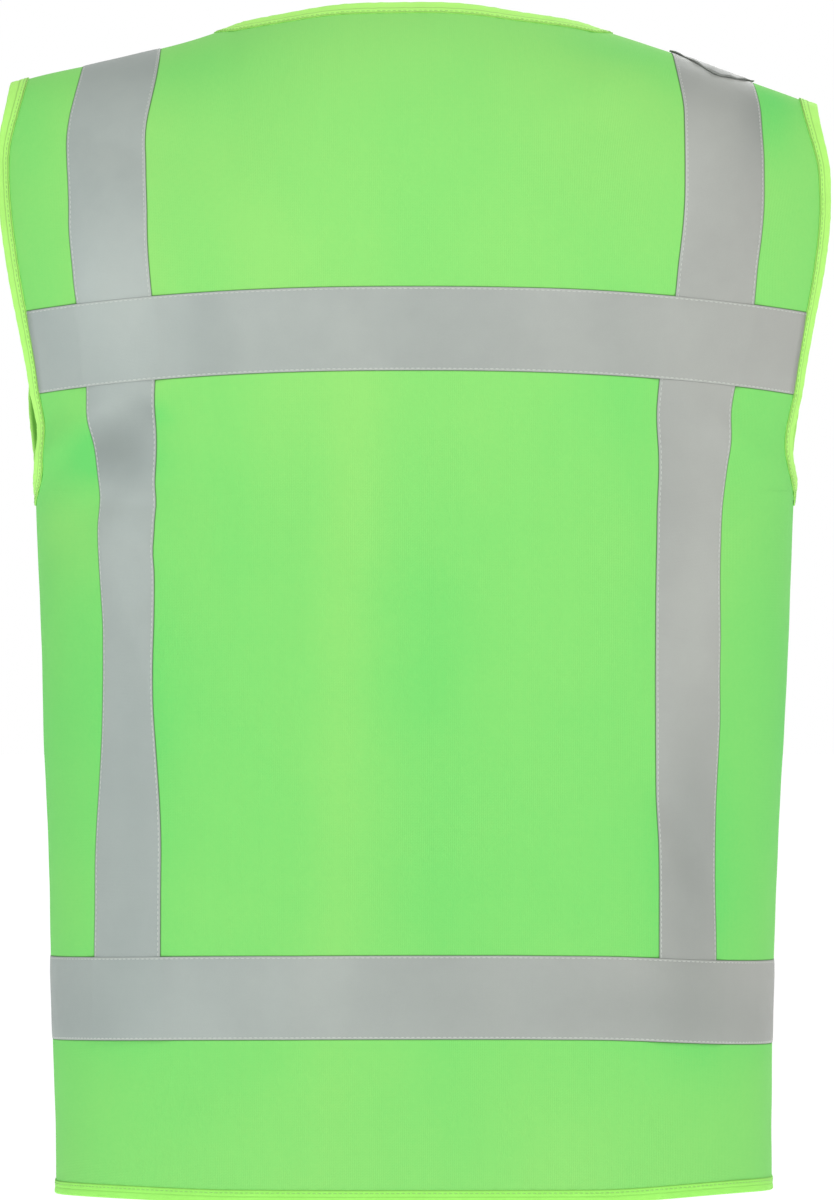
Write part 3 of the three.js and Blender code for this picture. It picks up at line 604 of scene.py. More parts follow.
def cloth_solid(name, outer, inner, material, edge=None, tone=None):
    """A closed sheet between two grids of points, with metres along the cloth as its UV map.

    edge is each point's distance from the nearest tape edge, kept in millimetres, and tone is how
    much lighter or darker the cloth is painted there: painted shade and light.
    """
    columns, rows = outer.shape[:2]
    points = np.concatenate([outer.reshape(-1, 3), inner.reshape(-1, 3)])
    offset = columns * rows
    faces = []
    for i in range(columns - 1):
        for j in range(rows - 1):
            a = i * rows + j
            faces.append((a, a + rows, a + rows + 1, a + 1))
            faces.append((a + offset, a + 1 + offset, a + rows + 1 + offset, a + rows + offset))
    rim = [i * rows for i in range(columns)]
    rim += [(columns - 1) * rows + j for j in range(1, rows)]
    rim += [i * rows + rows - 1 for i in range(columns - 2, -1, -1)]
    rim += list(range(rows - 2, 0, -1))
    for k, a in enumerate(rim):
        b = rim[(k + 1) % len(rim)]
        faces.append((b, a, a + offset, b + offset))
    across = np.zeros((columns, rows))
    across[1:] = np.cumsum(np.linalg.norm(np.diff(outer, axis=0), axis=2), axis=0)
    across -= across[columns // 2]
    up = np.zeros((columns, rows))
    up[:, 1:] = np.cumsum(np.linalg.norm(np.diff(outer, axis=1), axis=2), axis=1)
    uv = np.stack([across, up], axis=-1).reshape(-1, 2)
    piece = new_object(name, points, outward(points, faces), material, np.concatenate([uv, uv]))
    if edge is not None:
        keep_values(piece, "edge", np.clip(edge / MM, 0, 8))
    if tone is not None:
        keep_values(piece, "tone", tone)
    return piece


def keep_values(piece, name, values):
    """Keeps one number for each point of a sheet's two faces."""
    layer = piece.data.attributes.new(name, "FLOAT", "POINT")
    values = np.asarray(values, np.float32).reshape(-1)
    layer.data.foreach_set("value", np.concatenate([values, values]))


def swept_solid(name, rings, material, closed=False):
    """A closed solid through rings of points, its UV map running along and round it."""
    count, around = rings.shape[:2]
    points = rings.reshape(-1, 3)
    faces = []
    for i in range(count if closed else count - 1):
        for k in range(around):
            a = i * around + k
            b = i * around + (k + 1) % around
            c = ((i + 1) % count) * around + (k + 1) % around
            d = ((i + 1) % count) * around + k
            faces.append((a, b, c, d))
    if not closed:
        faces.append(tuple(range(around - 1, -1, -1)))
        faces.append(tuple((count - 1) * around + k for k in range(around)))
    along = np.zeros(count)
    along[1:] = np.cumsum(np.linalg.norm(np.diff(rings.mean(axis=1), axis=0), axis=1))
    girth = np.zeros(around)
    girth[1:] = np.cumsum(np.linalg.norm(np.diff(rings[0], axis=0), axis=1))
    uv = np.stack(np.meshgrid(along, girth, indexing="ij"), axis=-1).reshape(-1, 2)
    return new_object(name, points, outward(points, faces), material, uv)


def finish_piece(piece, body, slot, *nodes):
    """Hangs a piece on the body it rides on and hides the frame nodes it stands for; slot, its
    finish, is not used.
    """
    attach(piece, body)
    if nodes:
        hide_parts(*nodes)
    return piece


# ---- shader maths ----
class Sock:
    """A shader socket that expressions can be written on."""

    def __init__(self, board, link):
        self.board = board
        self.link = link

    def maths(self, operation, *values):
        return self.board.maths(operation, *values)

    def __add__(self, other):
        return self.maths("ADD", self, other)

    def __sub__(self, other):
        return self.maths("SUBTRACT", self, other)

    def __rsub__(self, other):
        return self.maths("SUBTRACT", other, self)

    def __mul__(self, other):
        return self.maths("MULTIPLY", self, other)

    def __pow__(self, other):
        return self.maths("POWER", self, other)

    __radd__ = __add__
    __rmul__ = __mul__

    def sine(self):
        return self.maths("SINE", self)

    def size(self):
        return self.maths("ABSOLUTE", self)

    def part(self, name):
        """Another output of the same node."""
        return Sock(self.board, self.link.node.outputs[name])


class Board:
    """A material's node tree under construction."""

    def __init__(self, name):
        self.material = bpy.data.materials.new(name)
        self.material.use_nodes = True
        self.tree = self.material.node_tree
        self.shader = self.tree.nodes["Principled BSDF"]

    def node(self, kind, settings, *values, **named):
        """Adds a node: its settings first, then its sockets by place or by name."""
        made = self.tree.nodes.new(kind)
        for key, value in settings.items():
            setattr(made, key, value)
        for index, value in enumerate(values):
            self.feed(made.inputs[index], value)
        for key, value in named.items():
            self.feed(made.inputs[key.replace("_", " ")], value)
        return Sock(self, made.outputs[0])

    def feed(self, socket, value):
        if isinstance(value, Sock):
            self.tree.links.new(value.link, socket)
        else:
            socket.default_value = value

    def coordinates(self, name="Object"):
        return self.node("ShaderNodeTexCoord", {}).part(name)

    def weave(self):
        """Metres across and along the cloth, from its UV map."""
        split = self.node("ShaderNodeSeparateXYZ", {}, self.coordinates("UV"))
        return split.part("X"), split.part("Y")

    def attribute(self, name):
        """A number kept on the mesh."""
        return self.node("ShaderNodeAttribute", {"attribute_name": name}).part("Fac")

    def band(self, value, middle, width):
        """1 where a value is at the middle, falling to 0 a width away."""
        away = (value - middle).size() * (1 / width)
        return self.maths("MAXIMUM", 1 - away, 0.0)

    def maths(self, operation, *values):
        return self.node("ShaderNodeMath", {"operation": operation}, *values)

    def noise(self, vector, scale, detail=3.0, roughness=0.55):
        return self.node(
            "ShaderNodeTexNoise", {}, Vector=vector, Scale=scale, Detail=detail,
            Roughness=roughness,
        )

    def blend(self, share, one, two):
        """A colour between two colours."""
        made = self.tree.nodes.new("ShaderNodeMix")
        made.data_type = "RGBA"
        for index, value in ((0, share), (6, one), (7, two)):
            if isinstance(value, tuple) and len(value) == 3:
                value = (*value, 1.0)
            self.feed(made.inputs[index], value)
        return Sock(self, made.outputs[2])

    def bump(self, height, strength, distance):
        settings = {"Height": height, "Strength": strength, "Distance": distance}
        normal = self.node("ShaderNodeBump", {}, **settings)
        self.feed(self.shader.inputs["Normal"], normal)

    def finish(self, **sockets):
        for key, value in sockets.items():
            self.feed(self.shader.inputs[key.replace("_", " ")], value)
        return self.material


WALE = 0.0011
COURSE = 0.0009
TAPE_THREAD = 0.0008


def ridges(value, pitch):
    """A wave across a length in metres, from -1 to 1."""
    return (value * (FULL_TURN / pitch)).sine()


def shade(tint, factor, lift=0.0):
    """A colour made lighter or darker."""
    return tuple(min(1.0, max(0.0, part * factor + lift)) for part in tint)


def cool_mottle_and_shade(tint):
    """A deeper, cooler copy of the cloth's colour, for its mottle and for painted shade."""
    return (tint[0] * 0.66, tint[1] * 0.96, tint[2] * 0.94)


def warm_mottle_and_light(tint):
    """A paler, warmer copy of the cloth's colour, for its mottle and for painted light."""
    return (tint[0] * 1.22, tint[1] * 1.03, tint[2] * 1.05)


def knitted_cloth(name, tint):
    """Fine knitted polyester: small wales and courses, a soft mottle, painted shade and light, a
    painted glow and a little sheen.
    """
    board = Board(name)
    across, along = board.weave()
    rib = ridges(across, WALE)
    loop = (along * (FULL_TURN / COURSE) + ridges(across, 2 * WALE) * 1.2).sine()
    knit = rib * 0.6 + loop * 0.4
    place = board.coordinates()
    slow = board.noise(place, 5.5, 3.0)
    fine = board.noise(place, 420.0, 2.0)
    spot = board.node("ShaderNodeSeparateXYZ", {}, place)
    # Painted shade: the cloth is painted darker and cooler towards its sides.
    shaded_sides = (spot.part("X").size() * 4.4) ** 2
    # Painted light: the cloth is painted paler towards the top, and less towards the hem.
    ends = (spot.part("Z") + 0.40).size() * 1.3
    tone = (slow - 0.5) * 0.9 + fine * 0.25 + knit * 0.04 - shaded_sides * 0.22 + ends + 0.34
    # Painted shade and light in soft patches, kept on the mesh as tone.
    tone = tone + board.attribute("tone") * 0.8
    # The colour runs from a deeper, cooler copy to a paler, warmer one: random mottle and painted
    # shade and light.
    mix = board.blend(tone, cool_mottle_and_shade(tint), warm_mottle_and_light(tint))
    # Painted shadow: a thin dark line on the cloth along each tape edge.
    line = board.band(board.attribute("edge"), 0.0, 0.80)
    mix = board.blend(line, mix, shade(tint, 0.22))
    board.bump(knit * 0.7 + fine * 0.9, 0.25, 0.00025)
    # The emission is a painted glow that lifts the cloth's shaded parts.
    return board.finish(
        Base_Color=mix, Roughness=0.82, Sheen_Weight=0.02, Sheen_Roughness=0.45,
        Specular_IOR_Level=0.10, Emission_Color=mix, Emission_Strength=0.10,
    )


def reflective_tape(name, tint):
    """Glass bead tape: grey, faintly mottled, tiny grain, a soft gloss, painted shade and light."""
    board = Board(name)
    place = board.coordinates()
    cloud = board.noise(place, 14.0, 4.0, 0.6)
    patch = board.noise(place, 90.0, 3.0, 0.6)
    side = board.node("ShaderNodeSeparateXYZ", {}, place).part("X") * 2.2 + 0.5
    grain = board.noise(place, 1500.0, 2.0)
    # A random mottle, plus painted shade and light from the tone kept on the mesh, makes the grey
    # lighter and darker.
    tone = (cloud - 0.5) * 1.3 + patch * 0.3 + grain * 0.35 + 0.17 + board.attribute("tone") * 0.8
    # Painted light: the grey is painted cooler towards the wearer's left and warmer towards the
    # right.
    warm = (tint[0] * 1.01, tint[1] * 0.97, tint[2] * 0.98)
    cool = (tint[0] * 0.90, tint[1] * 1.00, tint[2] * 1.03)
    base = board.blend(side, warm, cool)
    mix = board.blend(tone * 0.5, base, shade(tint, 1.18))
    mix = board.blend((1 - tone) * 0.34, mix, shade(tint, 0.74))
    # Painted shade: a darker, cooler grey where the tone kept on the mesh is below zero.
    deep = (tint[0] * 0.50, tint[1] * 0.56, tint[2] * 0.57)
    mix = board.blend(board.maths("MAXIMUM", board.attribute("tone") * -0.42, 0.0), mix, deep)
    edge = board.attribute("edge")
    mix = board.blend(board.band(edge, 0.7, 0.6) * 0.55, mix, shade(tint, 1.22))
    # Painted shadow: a dark line right at each tape edge, and the shoulder lap painted darker all
    # over.
    mix = board.blend(board.band(edge, 0.0, 0.28) * 0.6, mix, shade(tint, 0.5))
    across, along = board.weave()
    cross = ridges(across, TAPE_THREAD) + ridges(along, TAPE_THREAD)
    board.bump(grain * 0.8 + cross * 0.12 + patch * 0.8, 0.22, 0.0003)
    return board.finish(
        Base_Color=mix, Roughness=patch * 0.25 + 0.42, Metallic=0.15, Specular_IOR_Level=0.4,
    )


def woven_band(name, tint, thread=0.0009, roughness=0.75, crease_shade=()):
    """Woven binding: crossing threads, a slight mottle, painted shade in lines across it, a painted
    glow.
    """
    board = Board(name)
    across, along = board.weave()
    cloth = ridges(across, thread) * ridges(along, thread)
    place = board.coordinates()
    slow = board.noise(place, 60.0, 3.0)
    tone = slow * 0.8 + cloth * 0.10 + 0.1
    mix = board.blend(tone, shade(tint, 0.90), shade(tint, 1.08))
    # Painted shade: darker lines along the band at the given distances across it.
    for place_across, half, depth in crease_shade:
        line = board.band(along, place_across, half)
        mix = board.blend(line * depth, mix, shade(tint, 0.30))
    board.bump(cloth * 0.6 + slow * 0.5, 0.30, 0.0003)
    # The emission is a painted glow.
    return board.finish(
        Base_Color=mix, Roughness=roughness, Sheen_Weight=0.03, Specular_IOR_Level=0.15,
        Emission_Color=mix, Emission_Strength=0.13,
    )


def moulded_plastic(name, tint):
    """Moulded plastic with a faint grain and worn, paler patches."""
    board = Board(name)
    place = board.coordinates()
    grain = board.noise(place, 2500.0, 2.0)
    wear = board.noise(place, 300.0, 4.0, 0.65)
    mix = board.blend(wear, shade(tint, 0.88), shade(tint, 1.12, 0.01))
    board.bump(grain, 0.15, 0.0001)
    return board.finish(Base_Color=mix, Roughness=wear * 0.2 + 0.35, Coat_Weight=0.1)


def spun_thread(name, tint):
    """Sewing thread."""
    board = Board(name)
    fine = board.noise(board.coordinates(), 3000.0, 2.0)
    mix = board.blend(fine, shade(tint, 0.85), shade(tint, 1.12))
    board.bump(fine, 0.3, 0.0001)
    return board.finish(Base_Color=mix, Roughness=0.7, Sheen_Weight=0.2)


# Painted shade in darker lines across a folded band: distance from its inner edge, half width and
# depth.
BINDING_CREASE_SHADE = ((0.0, 0.0013, 0.95), (0.0048, 0.0008, 0.50))
HEM_CREASE_SHADE = ((0.0, 0.0010, 0.6), (0.0040, 0.0006, 0.3))


def finish_of(context, slot):
    """The material of a slot, made once."""
    cloth = context.scene.vest_cloth
    zip_sizes = context.scene.vest_zip
    made = bpy.data.materials.get("vest_" + slot)
    if made:
        return made
    makers = {
        "cloth": lambda n: knitted_cloth(n, tuple(cloth.cloth_colour)),
        "tape": lambda n: reflective_tape(n, tuple(cloth.tape_colour)),
        "binding": lambda n: woven_band(n, tuple(cloth.binding_colour), crease_shade=BINDING_CREASE_SHADE),
        "hem": lambda n: woven_band(n, tuple(cloth.hem_colour), crease_shade=HEM_CREASE_SHADE),
        "zip_tape": lambda n: woven_band(n, tuple(zip_sizes.tape_colour), 0.0007),
        "zip_plastic": lambda n: moulded_plastic(n, tuple(zip_sizes.plastic_colour)),
        "label": lambda n: woven_band(n, tuple(zip_sizes.label_colour), 0.0006),
        "thread": lambda n: spun_thread(n, tuple(cloth.thread_colour)),
        "pale_thread": lambda n: spun_thread(n, tuple(cloth.pale_thread_colour)),
    }
    return makers[slot]("vest_" + slot)


# ---- grids of the panels ----
def side_columns(cell):
    """Column stretches from the neck's side to the armhole or side seam."""
    return [
        ("neck", "brace_inner", spread(0.040, cell, fine_end=True)),
        ("brace_inner", "brace_outer", spread(0.042, cell, True, True)),
        ("brace_outer", "binding", spread(0.032, cell, fine_start=True)),
        ("binding", "edge", spread(0.009, 0.003)),
    ]


def all_rows(cell):
    """Row stretches from the hem to the top edge."""
    return [
        ("hem", "hem_top", spread(0.010, 0.0025)),
        ("hem_top", "waist_low", spread(0.081, cell, fine_end=True)),
        ("waist_low", "waist_top", spread(0.049, cell, True, True)),
        ("waist_top", "underarm", spread(0.258, cell, fine_start=True)),
        ("underarm", "underarm_round", [0, 0.02, 0.06, 0.13, 0.25, 0.42, 0.68, 1]),
        ("underarm_round", "chest_low", spread(0.058, cell, fine_end=True)),
        ("chest_low", "chest_top", spread(0.049, cell, True, True)),
        ("chest_top", "top", spread(0.165, cell, fine_start=True)),
    ]


def tuck(body, grid):
    """How far the cloth draws in along its seams."""
    point = body.base(grid.turn, grid.dome)
    height = point[..., 2] + body.o.neck_point
    away = np.abs(point[..., 1])
    side_seam = np.where(height < body.o.underarm, 1.0, 0.0) * np.exp(-((away / 0.0022) ** 2))
    top = smooth((height - 0.60) / 0.03) * np.exp(-((away / 0.0022) ** 2))
    return -0.0009 * np.maximum(side_seam, top)


def part_seam(points, side):
    """Keeps a hair's gap between the front and back where they meet."""
    points[..., 1] = np.where(side * points[..., 1] < SEAM_GAP, side * SEAM_GAP, points[..., 1])
    return points


def panel_grid(body, side, hand, cell):
    """The grid of half a panel: the back's from the centre, a front's from the zip."""
    first = "centre" if side == BACK else "zip"
    columns = [(first, "neck", spread(0.10, cell)), *side_columns(cell)]
    return Grid(body, side, columns, all_rows(cell), hand)


def join_halves(left, right):
    """One grid from two halves that share their centre column."""
    left.turn = np.concatenate([right.turn[:0:-1], left.turn])
    left.dome = np.concatenate([right.dome[:0:-1], left.dome])
    return left


class VEST_OT_panels(bpy.types.Operator):
    """Make the back panel and the two front panels"""

    bl_idname = "vest.panels"
    bl_label = "Panels"

    def execute(self, context):
        body = Body(context)
        cell = body.c.cell
        look = finish_of(context, "cloth")
        back = join_halves(*(panel_grid(body, BACK, hand, cell) for hand in HANDS))
        pieces = [("back_cloth", back, BACK, "back_panel", (0.56, 0.70), 0.33)]
        for hand in HANDS:
            half = panel_grid(body, FRONT, hand, cell)
            name = f"front_cloth_{hand}"
            pieces.append((name, half, FRONT, f"front_panel_{hand}", (0.29, 0.69), 0.155))
        for name, grid, side, node, flat, area in pieces:
            draw = tuck(body, grid)
            outer = part_seam(body.place(grid.turn, grid.dome, draw + body.c.panel), side)
            inner = part_seam(body.place(grid.turn, grid.dome, draw), side)
            # edge feeds the painted shadow line beside each tape, and tone the painted shade and
            # light patches.
            edge = body.tape_distance(grid.turn, grid.dome)
            tone = body.patches(body.base(grid.turn, grid.dome), BACK_PAINTED_SHADE)
            piece = cloth_solid(name, outer, inner, look, edge, tone)
            finish_piece(piece, "vest", "cloth", node)
        return {"FINISHED"}


# ---- tapes ----
def sewn_profile(grid_points, fine, thickness):
    """Lift of a tape's face: rounded at its edges and drawn down along its stitches."""
    lengths = np.zeros(grid_points.shape[:2])
    steps = np.linalg.norm(np.diff(grid_points, axis=fine), axis=2)
    if fine == 0:
        lengths[1:] = np.cumsum(steps, axis=0)
        whole = lengths[-1:, :]
    else:
        lengths[:, 1:] = np.cumsum(steps, axis=1)
        whole = lengths[:, -1:]
    edge = np.minimum(lengths, whole - lengths)
    rounding = thickness * np.clip(edge / 0.0004, 0.25, 1.0)
    crown = 0.00018 * smooth((edge - 0.002) / 0.008)
    stitched = -0.00015 * np.exp(-(((edge - 0.0012) / 0.0006) ** 2))
    return rounding + crown + stitched, edge


def tape_solid(context, body, name, grid, low, fine, lines):
    """A strip of tape on a grid, and the paths of its two stitch lines."""
    bottom = body.place(grid.turn, grid.dome, low)
    lift, edge = sewn_profile(bottom, fine, body.c.tape)
    top = body.place(grid.turn, grid.dome, low + lift)
    # Painted shade and light patches on the tape.
    tone = body.patches(body.base(grid.turn, grid.dome), BACK_PAINTED_SHADE)
    piece = cloth_solid(name, top, bottom, finish_of(context, "tape"), edge, tone)
    for line in (2, -3):
        lines.append(top[line, :] if fine == 0 else top[:, line])
    return piece


def tape_columns(cell, first, last):
    """Column stretches of a ring tape."""
    spans = [(first, "neck", spread(0.10, cell)), *side_columns(cell)]
    return spans[:-1] if last == "binding" else spans


def shoulder_lap(context, body, hand, lap, low):
    """The front brace's end, sewn over the back brace just behind the shoulder's ridge."""
    across = np.linspace(-0.02, 1.02, 22)[:, None] * np.ones(9)
    up = np.ones(22)[:, None] * np.linspace(1, 0, 9)
    height = np.full(across.shape, body.o.neck_point - 0.02)
    for _ in range(SETTLE_STEPS):
        inner = body.column("brace_inner", height, hand)
        outer = body.column("brace_outer", height, hand)
        turn = inner * (1 - across) + outer * across
        x = body.half_width(height) * body.section_x(turn)
        wave = lap * (0.35 + 0.65 * np.sin(np.clip(across, 0, 1) * math.pi))
        wave = wave + 0.0012 * np.sin(across * 17)
        dome = up * wave / body.o.back_depth
        height = body.ridge(x) - body.o.round_height * depth_of_dome(dome)
    sign = SIGN[hand]
    pucker = 0.0004 * np.sin(across * 31) * up
    top = body.place(sign * turn, dome, low + 0.0003 + 0.0005 * up + pucker)
    bottom = body.place(sign * turn, dome, low - 0.0002 + 0.0002 * up)
    # Painted shade: these values paint the whole lap darker, darkest along its lower rim.
    edge = 0.0001 * (1 - up ** 6)
    tone = np.full(edge.shape, -0.8)
    return cloth_solid(f"shoulder_lap_{hand}", top, bottom, finish_of(context, "tape"), edge, tone)


def ring_lift(body, grid, low, step):
    """Lift of a ring tape's underside: it climbs over each brace tape."""
    point, _, across, _ = body.frame_at(grid.turn, grid.dome)
    inside = np.minimum(*body.inside_brace(point, across))
    return low + step * smooth((inside + 0.0100) / 0.0098)


class VEST_OT_tapes(bpy.types.Operator):
    """Make the chest and waist tapes and the brace tapes, with their stitch lines"""

    bl_idname = "vest.tapes"
    bl_label = "Reflective tapes"

    def execute(self, context):
        body = Body(context)
        cell = body.c.cell
        brace_low = body.c.panel + HAIR
        ring_step = body.c.tape + 0.00030
        plain = []
        over = []
        brace_rows = [
            ("waist_low", "waist_top", [0.4, 0.55, 0.7, 0.85, 1.0]),
            ("waist_top", "underarm", spread(0.258, cell)),
            ("underarm", "chest_low", spread(0.074, cell)),
            ("chest_low", "chest_top", spread(0.049, cell)),
            ("chest_top", "top", spread(0.165, cell)),
        ]
        brace_columns = [("brace_inner", "brace_outer", spread(0.042, cell, True, True))]
        for hand in HANDS:
            for side, where in ((BACK, "back"), (FRONT, "front")):
                grid = Grid(body, side, brace_columns, brace_rows, hand)
                name = f"{where}_brace_{hand}"
                piece = tape_solid(context, body, name, grid, brace_low, 0, plain)
                finish_piece(piece, "vest", "tape", f"{where}_brace_tape_{hand}")
        lap = shoulder_lap(context, body, "right", 0.036, brace_low + body.c.tape + 0.0003)
        finish_piece(lap, "vest", "tape")
        for ring, last in (("chest", "binding"), ("waist", "edge")):
            rows = [(f"{ring}_low", f"{ring}_top", spread(0.049, cell, True, True))]
            for hand in HANDS:
                columns = tape_columns(cell, "zip", last)
                grid = Grid(body, FRONT, columns, rows, hand)
                lift = ring_lift(body, grid, brace_low, ring_step)
                piece = tape_solid(context, body, f"front_{ring}_{hand}", grid, lift, 1, over)
                finish_piece(piece, "vest", "tape", f"front_{ring}_tape_{hand}")
            columns = tape_columns(cell, "centre", last)
            halves = [Grid(body, BACK, columns, rows, hand) for hand in HANDS]
            whole = join_halves(*halves)
            lift = ring_lift(body, whole, brace_low, ring_step)
            piece = tape_solid(context, body, f"back_{ring}", whole, lift, 1, over)
            finish_piece(piece, "vest", "tape", f"back_{ring}_tape")
        sew(context, "brace_stitches", plain, "pale_thread", "tape")
        sew(context, "ring_stitches", over, "pale_thread", "tape")
        return {"FINISHED"}


# ---- stitches ----
def new_tree(name, inputs):
    """A Geometry Nodes tree from geometry to geometry, with its first and last node."""
    tree = bpy.data.node_groups.new(name, "GeometryNodeTree")
    face = tree.interface
    face.new_socket("Geometry", in_out="INPUT", socket_type="NodeSocketGeometry")
    for label, kind in inputs:
        face.new_socket(label, in_out="INPUT", socket_type="NodeSocket" + kind)
    face.new_socket("Geometry", in_out="OUTPUT", socket_type="NodeSocketGeometry")
    return tree, tree.nodes.new("NodeGroupInput"), tree.nodes.new("NodeGroupOutput")


def ball(tree, segments, rings):
    """A node that makes a round body of unit width."""
    made = tree.nodes.new("GeometryNodeMeshUVSphere")
    for label, value in (("Segments", segments), ("Rings", rings), ("Radius", 0.5)):
        made.inputs[label].default_value = value
    return made


def laid_out(tree, points, piece, look, end):
    """Sets a piece on every point, paints the pieces and ends the tree; returns the laying node."""
    instance = tree.nodes.new("GeometryNodeInstanceOnPoints")
    real = tree.nodes.new("GeometryNodeRealizeInstances")
    paint = tree.nodes.new("GeometryNodeSetMaterial")
    paint.inputs["Material"].default_value = look
    tree.links.new(points, instance.inputs["Points"])
    tree.links.new(piece, instance.inputs["Instance"])
    tree.links.new(instance.outputs["Instances"], real.inputs["Geometry"])
    tree.links.new(real.outputs["Geometry"], paint.inputs["Geometry"])
    tree.links.new(paint.outputs["Geometry"], end.inputs["Geometry"])
    return instance


def stitch_tree(look):
    """A tree that lays one stitch after another along each line of a mesh."""
    inputs = (("Pitch", "Float"), ("Length", "Float"), ("Thread", "Float"))
    tree, start, end = new_tree("stitches_" + look.name, inputs)
    nodes, links = tree.nodes, tree.links
    curve = nodes.new("GeometryNodeMeshToCurve")
    resample = nodes.new("GeometryNodeResampleCurve")
    resample.mode = "LENGTH"
    tangent = nodes.new("GeometryNodeInputTangent")
    align = nodes.new("FunctionNodeAlignRotationToVector")
    align.axis = "X"
    scale = nodes.new("ShaderNodeCombineXYZ")
    stitch = ball(tree, 6, 4)
    instance = laid_out(tree, resample.outputs["Curve"], stitch.outputs["Mesh"], look, end)
    links.new(start.outputs["Geometry"], curve.inputs["Mesh"])
    links.new(curve.outputs["Curve"], resample.inputs["Curve"])
    links.new(start.outputs["Pitch"], resample.inputs["Length"])
    links.new(tangent.outputs["Tangent"], align.inputs["Vector"])
    links.new(align.outputs["Rotation"], instance.inputs["Rotation"])
    for label, axis in (("Length", "X"), ("Thread", "Y"), ("Thread", "Z")):
        links.new(start.outputs[label], scale.inputs[axis])
    links.new(scale.outputs["Vector"], instance.inputs["Scale"])
    return tree


def grown(name, base, tree, inputs):
    """The plain mesh that a Geometry Nodes tree makes from a base object."""
    modifier = base.modifiers.new("grow", "NODES")
    modifier.node_group = tree
    for item in tree.interface.items_tree:
        if item.item_type == "SOCKET" and item.in_out == "INPUT" and item.name in inputs:
            modifier[item.identifier] = inputs[item.name]
    return settled(name, base)


def sew(context, name, paths, thread, slot):
    """Stitches along a set of paths."""
    cloth = context.scene.vest_cloth
    look = finish_of(context, thread)
    points = []
    edges = []
    for path in paths:
        first = len(points)
        points += [tuple(p) for p in path]
        edges += [(first + k, first + k + 1) for k in range(len(path) - 1)]
    mesh = bpy.data.meshes.new(name)
    mesh.from_pydata(points, edges, [])
    base = bpy.data.objects.new(name + "_lines", mesh)
    context.scene.collection.objects.link(base)
    inputs = {"Pitch": cloth.stitch_pitch, "Length": cloth.stitch_length, "Thread": cloth.thread}
    piece = grown(name, base, stitch_tree(look), inputs)
    return finish_piece(piece, "vest", slot)


# ---- bindings ----
def resampled(body, turn, dome, step):
    """A path of turn and dome angles, evenly spaced along its length."""
    points = body.base(turn, dome)
    lengths = np.concatenate([[0], np.cumsum(np.linalg.norm(np.diff(points, axis=0), axis=1))])
    count = max(8, round(lengths[-1] / step))
    at = np.linspace(0, lengths[-1], count + 1)
    keep = np.concatenate([[True], np.diff(lengths) > 1e-9])
    index = np.clip(np.searchsorted(lengths, at, side="right") - 1, 0, len(lengths) - 2)
    span = np.maximum(lengths[index + 1] - lengths[index], 1e-12)
    share = np.where(keep[index + 1], (at - lengths[index]) / span, 0)
    return (
        turn[index] * (1 - share) + turn[index + 1] * share,
        dome[index] * (1 - share) + dome[index + 1] * share,
    )


def round_end(reach, middle, angles, stretch=1.0):
    """Points of an arc round a folded edge."""
    return [
        (-reach * math.cos(angle) * stretch, middle + reach * math.sin(angle))
        for angle in np.radians(angles)
    ]


def fold_profile(width, gap, thickness, panel):
    """Outline of a strip folded over an edge: distances in from the edge, and lifts."""
    outer = gap + thickness
    middle = panel / 2
    outline = []
    for share in np.linspace(1, 0, 11):
        outline.append((share * width, panel + outer - (0.00018 if share == 1 else 0)))
    outline += round_end(middle + outer, middle, np.linspace(80, -80, 5), 1.1)
    outline += [(share * width, -outer) for share in np.linspace(0, 1, 6)]
    outline += [(share * width, -gap) for share in np.linspace(1, 0, 4)]
    outline += round_end(middle + gap, middle, np.linspace(-60, 60, 3))
    outline += [(share * width, panel + gap) for share in np.linspace(0, 1, 4)]
    return outline


def fold_over(body, name, turn, dome, width, look, inward_sign, closed=False, extra=0.0):
    """A folded strip along an edge path, and the path of its stitches."""
    cloth = body.c
    point, normal, across, down = body.frame_at(turn, dome)
    if closed:
        tangent = np.roll(point, -1, axis=0) - np.roll(point, 1, axis=0)
    else:
        tangent = np.gradient(point, axis=0)
    tangent /= np.linalg.norm(tangent, axis=1, keepdims=True)
    inward = np.cross(normal, tangent) * inward_sign
    inward /= np.linalg.norm(inward, axis=1, keepdims=True)
    aa = np.sum(across * across, axis=1)
    dd = np.sum(down * down, axis=1)
    ad = np.sum(across * down, axis=1)
    ia = np.sum(inward * across, axis=1)
    idn = np.sum(inward * down, axis=1)
    spread_out = aa * dd - ad * ad
    turn_rate = (ia * dd - idn * ad) / spread_out
    dome_rate = (idn * aa - ia * ad) / spread_out
    along = np.concatenate([[0], np.cumsum(np.linalg.norm(np.diff(point, axis=0), axis=1))])
    pucker = 0.00010 * np.sin(along * (FULL_TURN / 0.011))
    pucker = pucker + 0.00008 * np.sin(along * (FULL_TURN / 0.0073))
    lift_base = body.drape(point)

    def at(distance, lift):
        if distance <= 0:
            here = point + inward * distance
            return body.hang(here + normal * (lift + lift_base)[:, None])
        bend_turn = turn + turn_rate * distance
        bend_dome = dome + dome_rate * distance
        return body.place(bend_turn, bend_dome, lift)

    rings = []
    for distance, lift in fold_profile(width, HAIR, cloth.binding + extra, cloth.panel):
        swell = pucker if lift > cloth.panel / 2 else 0 * pucker
        dent = -0.00025 * math.exp(-(((distance - width + STITCH_INSET) / 0.0007) ** 2))
        dent -= 0.00030 * math.exp(-(((distance - 0.42 * width) / 0.0008) ** 2))
        sewn = dent if lift > cloth.panel + 0.0003 else 0
        rings.append(at(distance, np.full(len(point), lift) + swell + sewn))
    solid = swept_solid(name, np.stack(rings, axis=1), look, closed)
    face = np.full(len(point), cloth.panel + HAIR + cloth.binding + extra)
    stitch_line = at(width - STITCH_INSET, face + pucker)
    if closed:
        stitch_line = np.concatenate([stitch_line, stitch_line[:1]])
    return solid, stitch_line


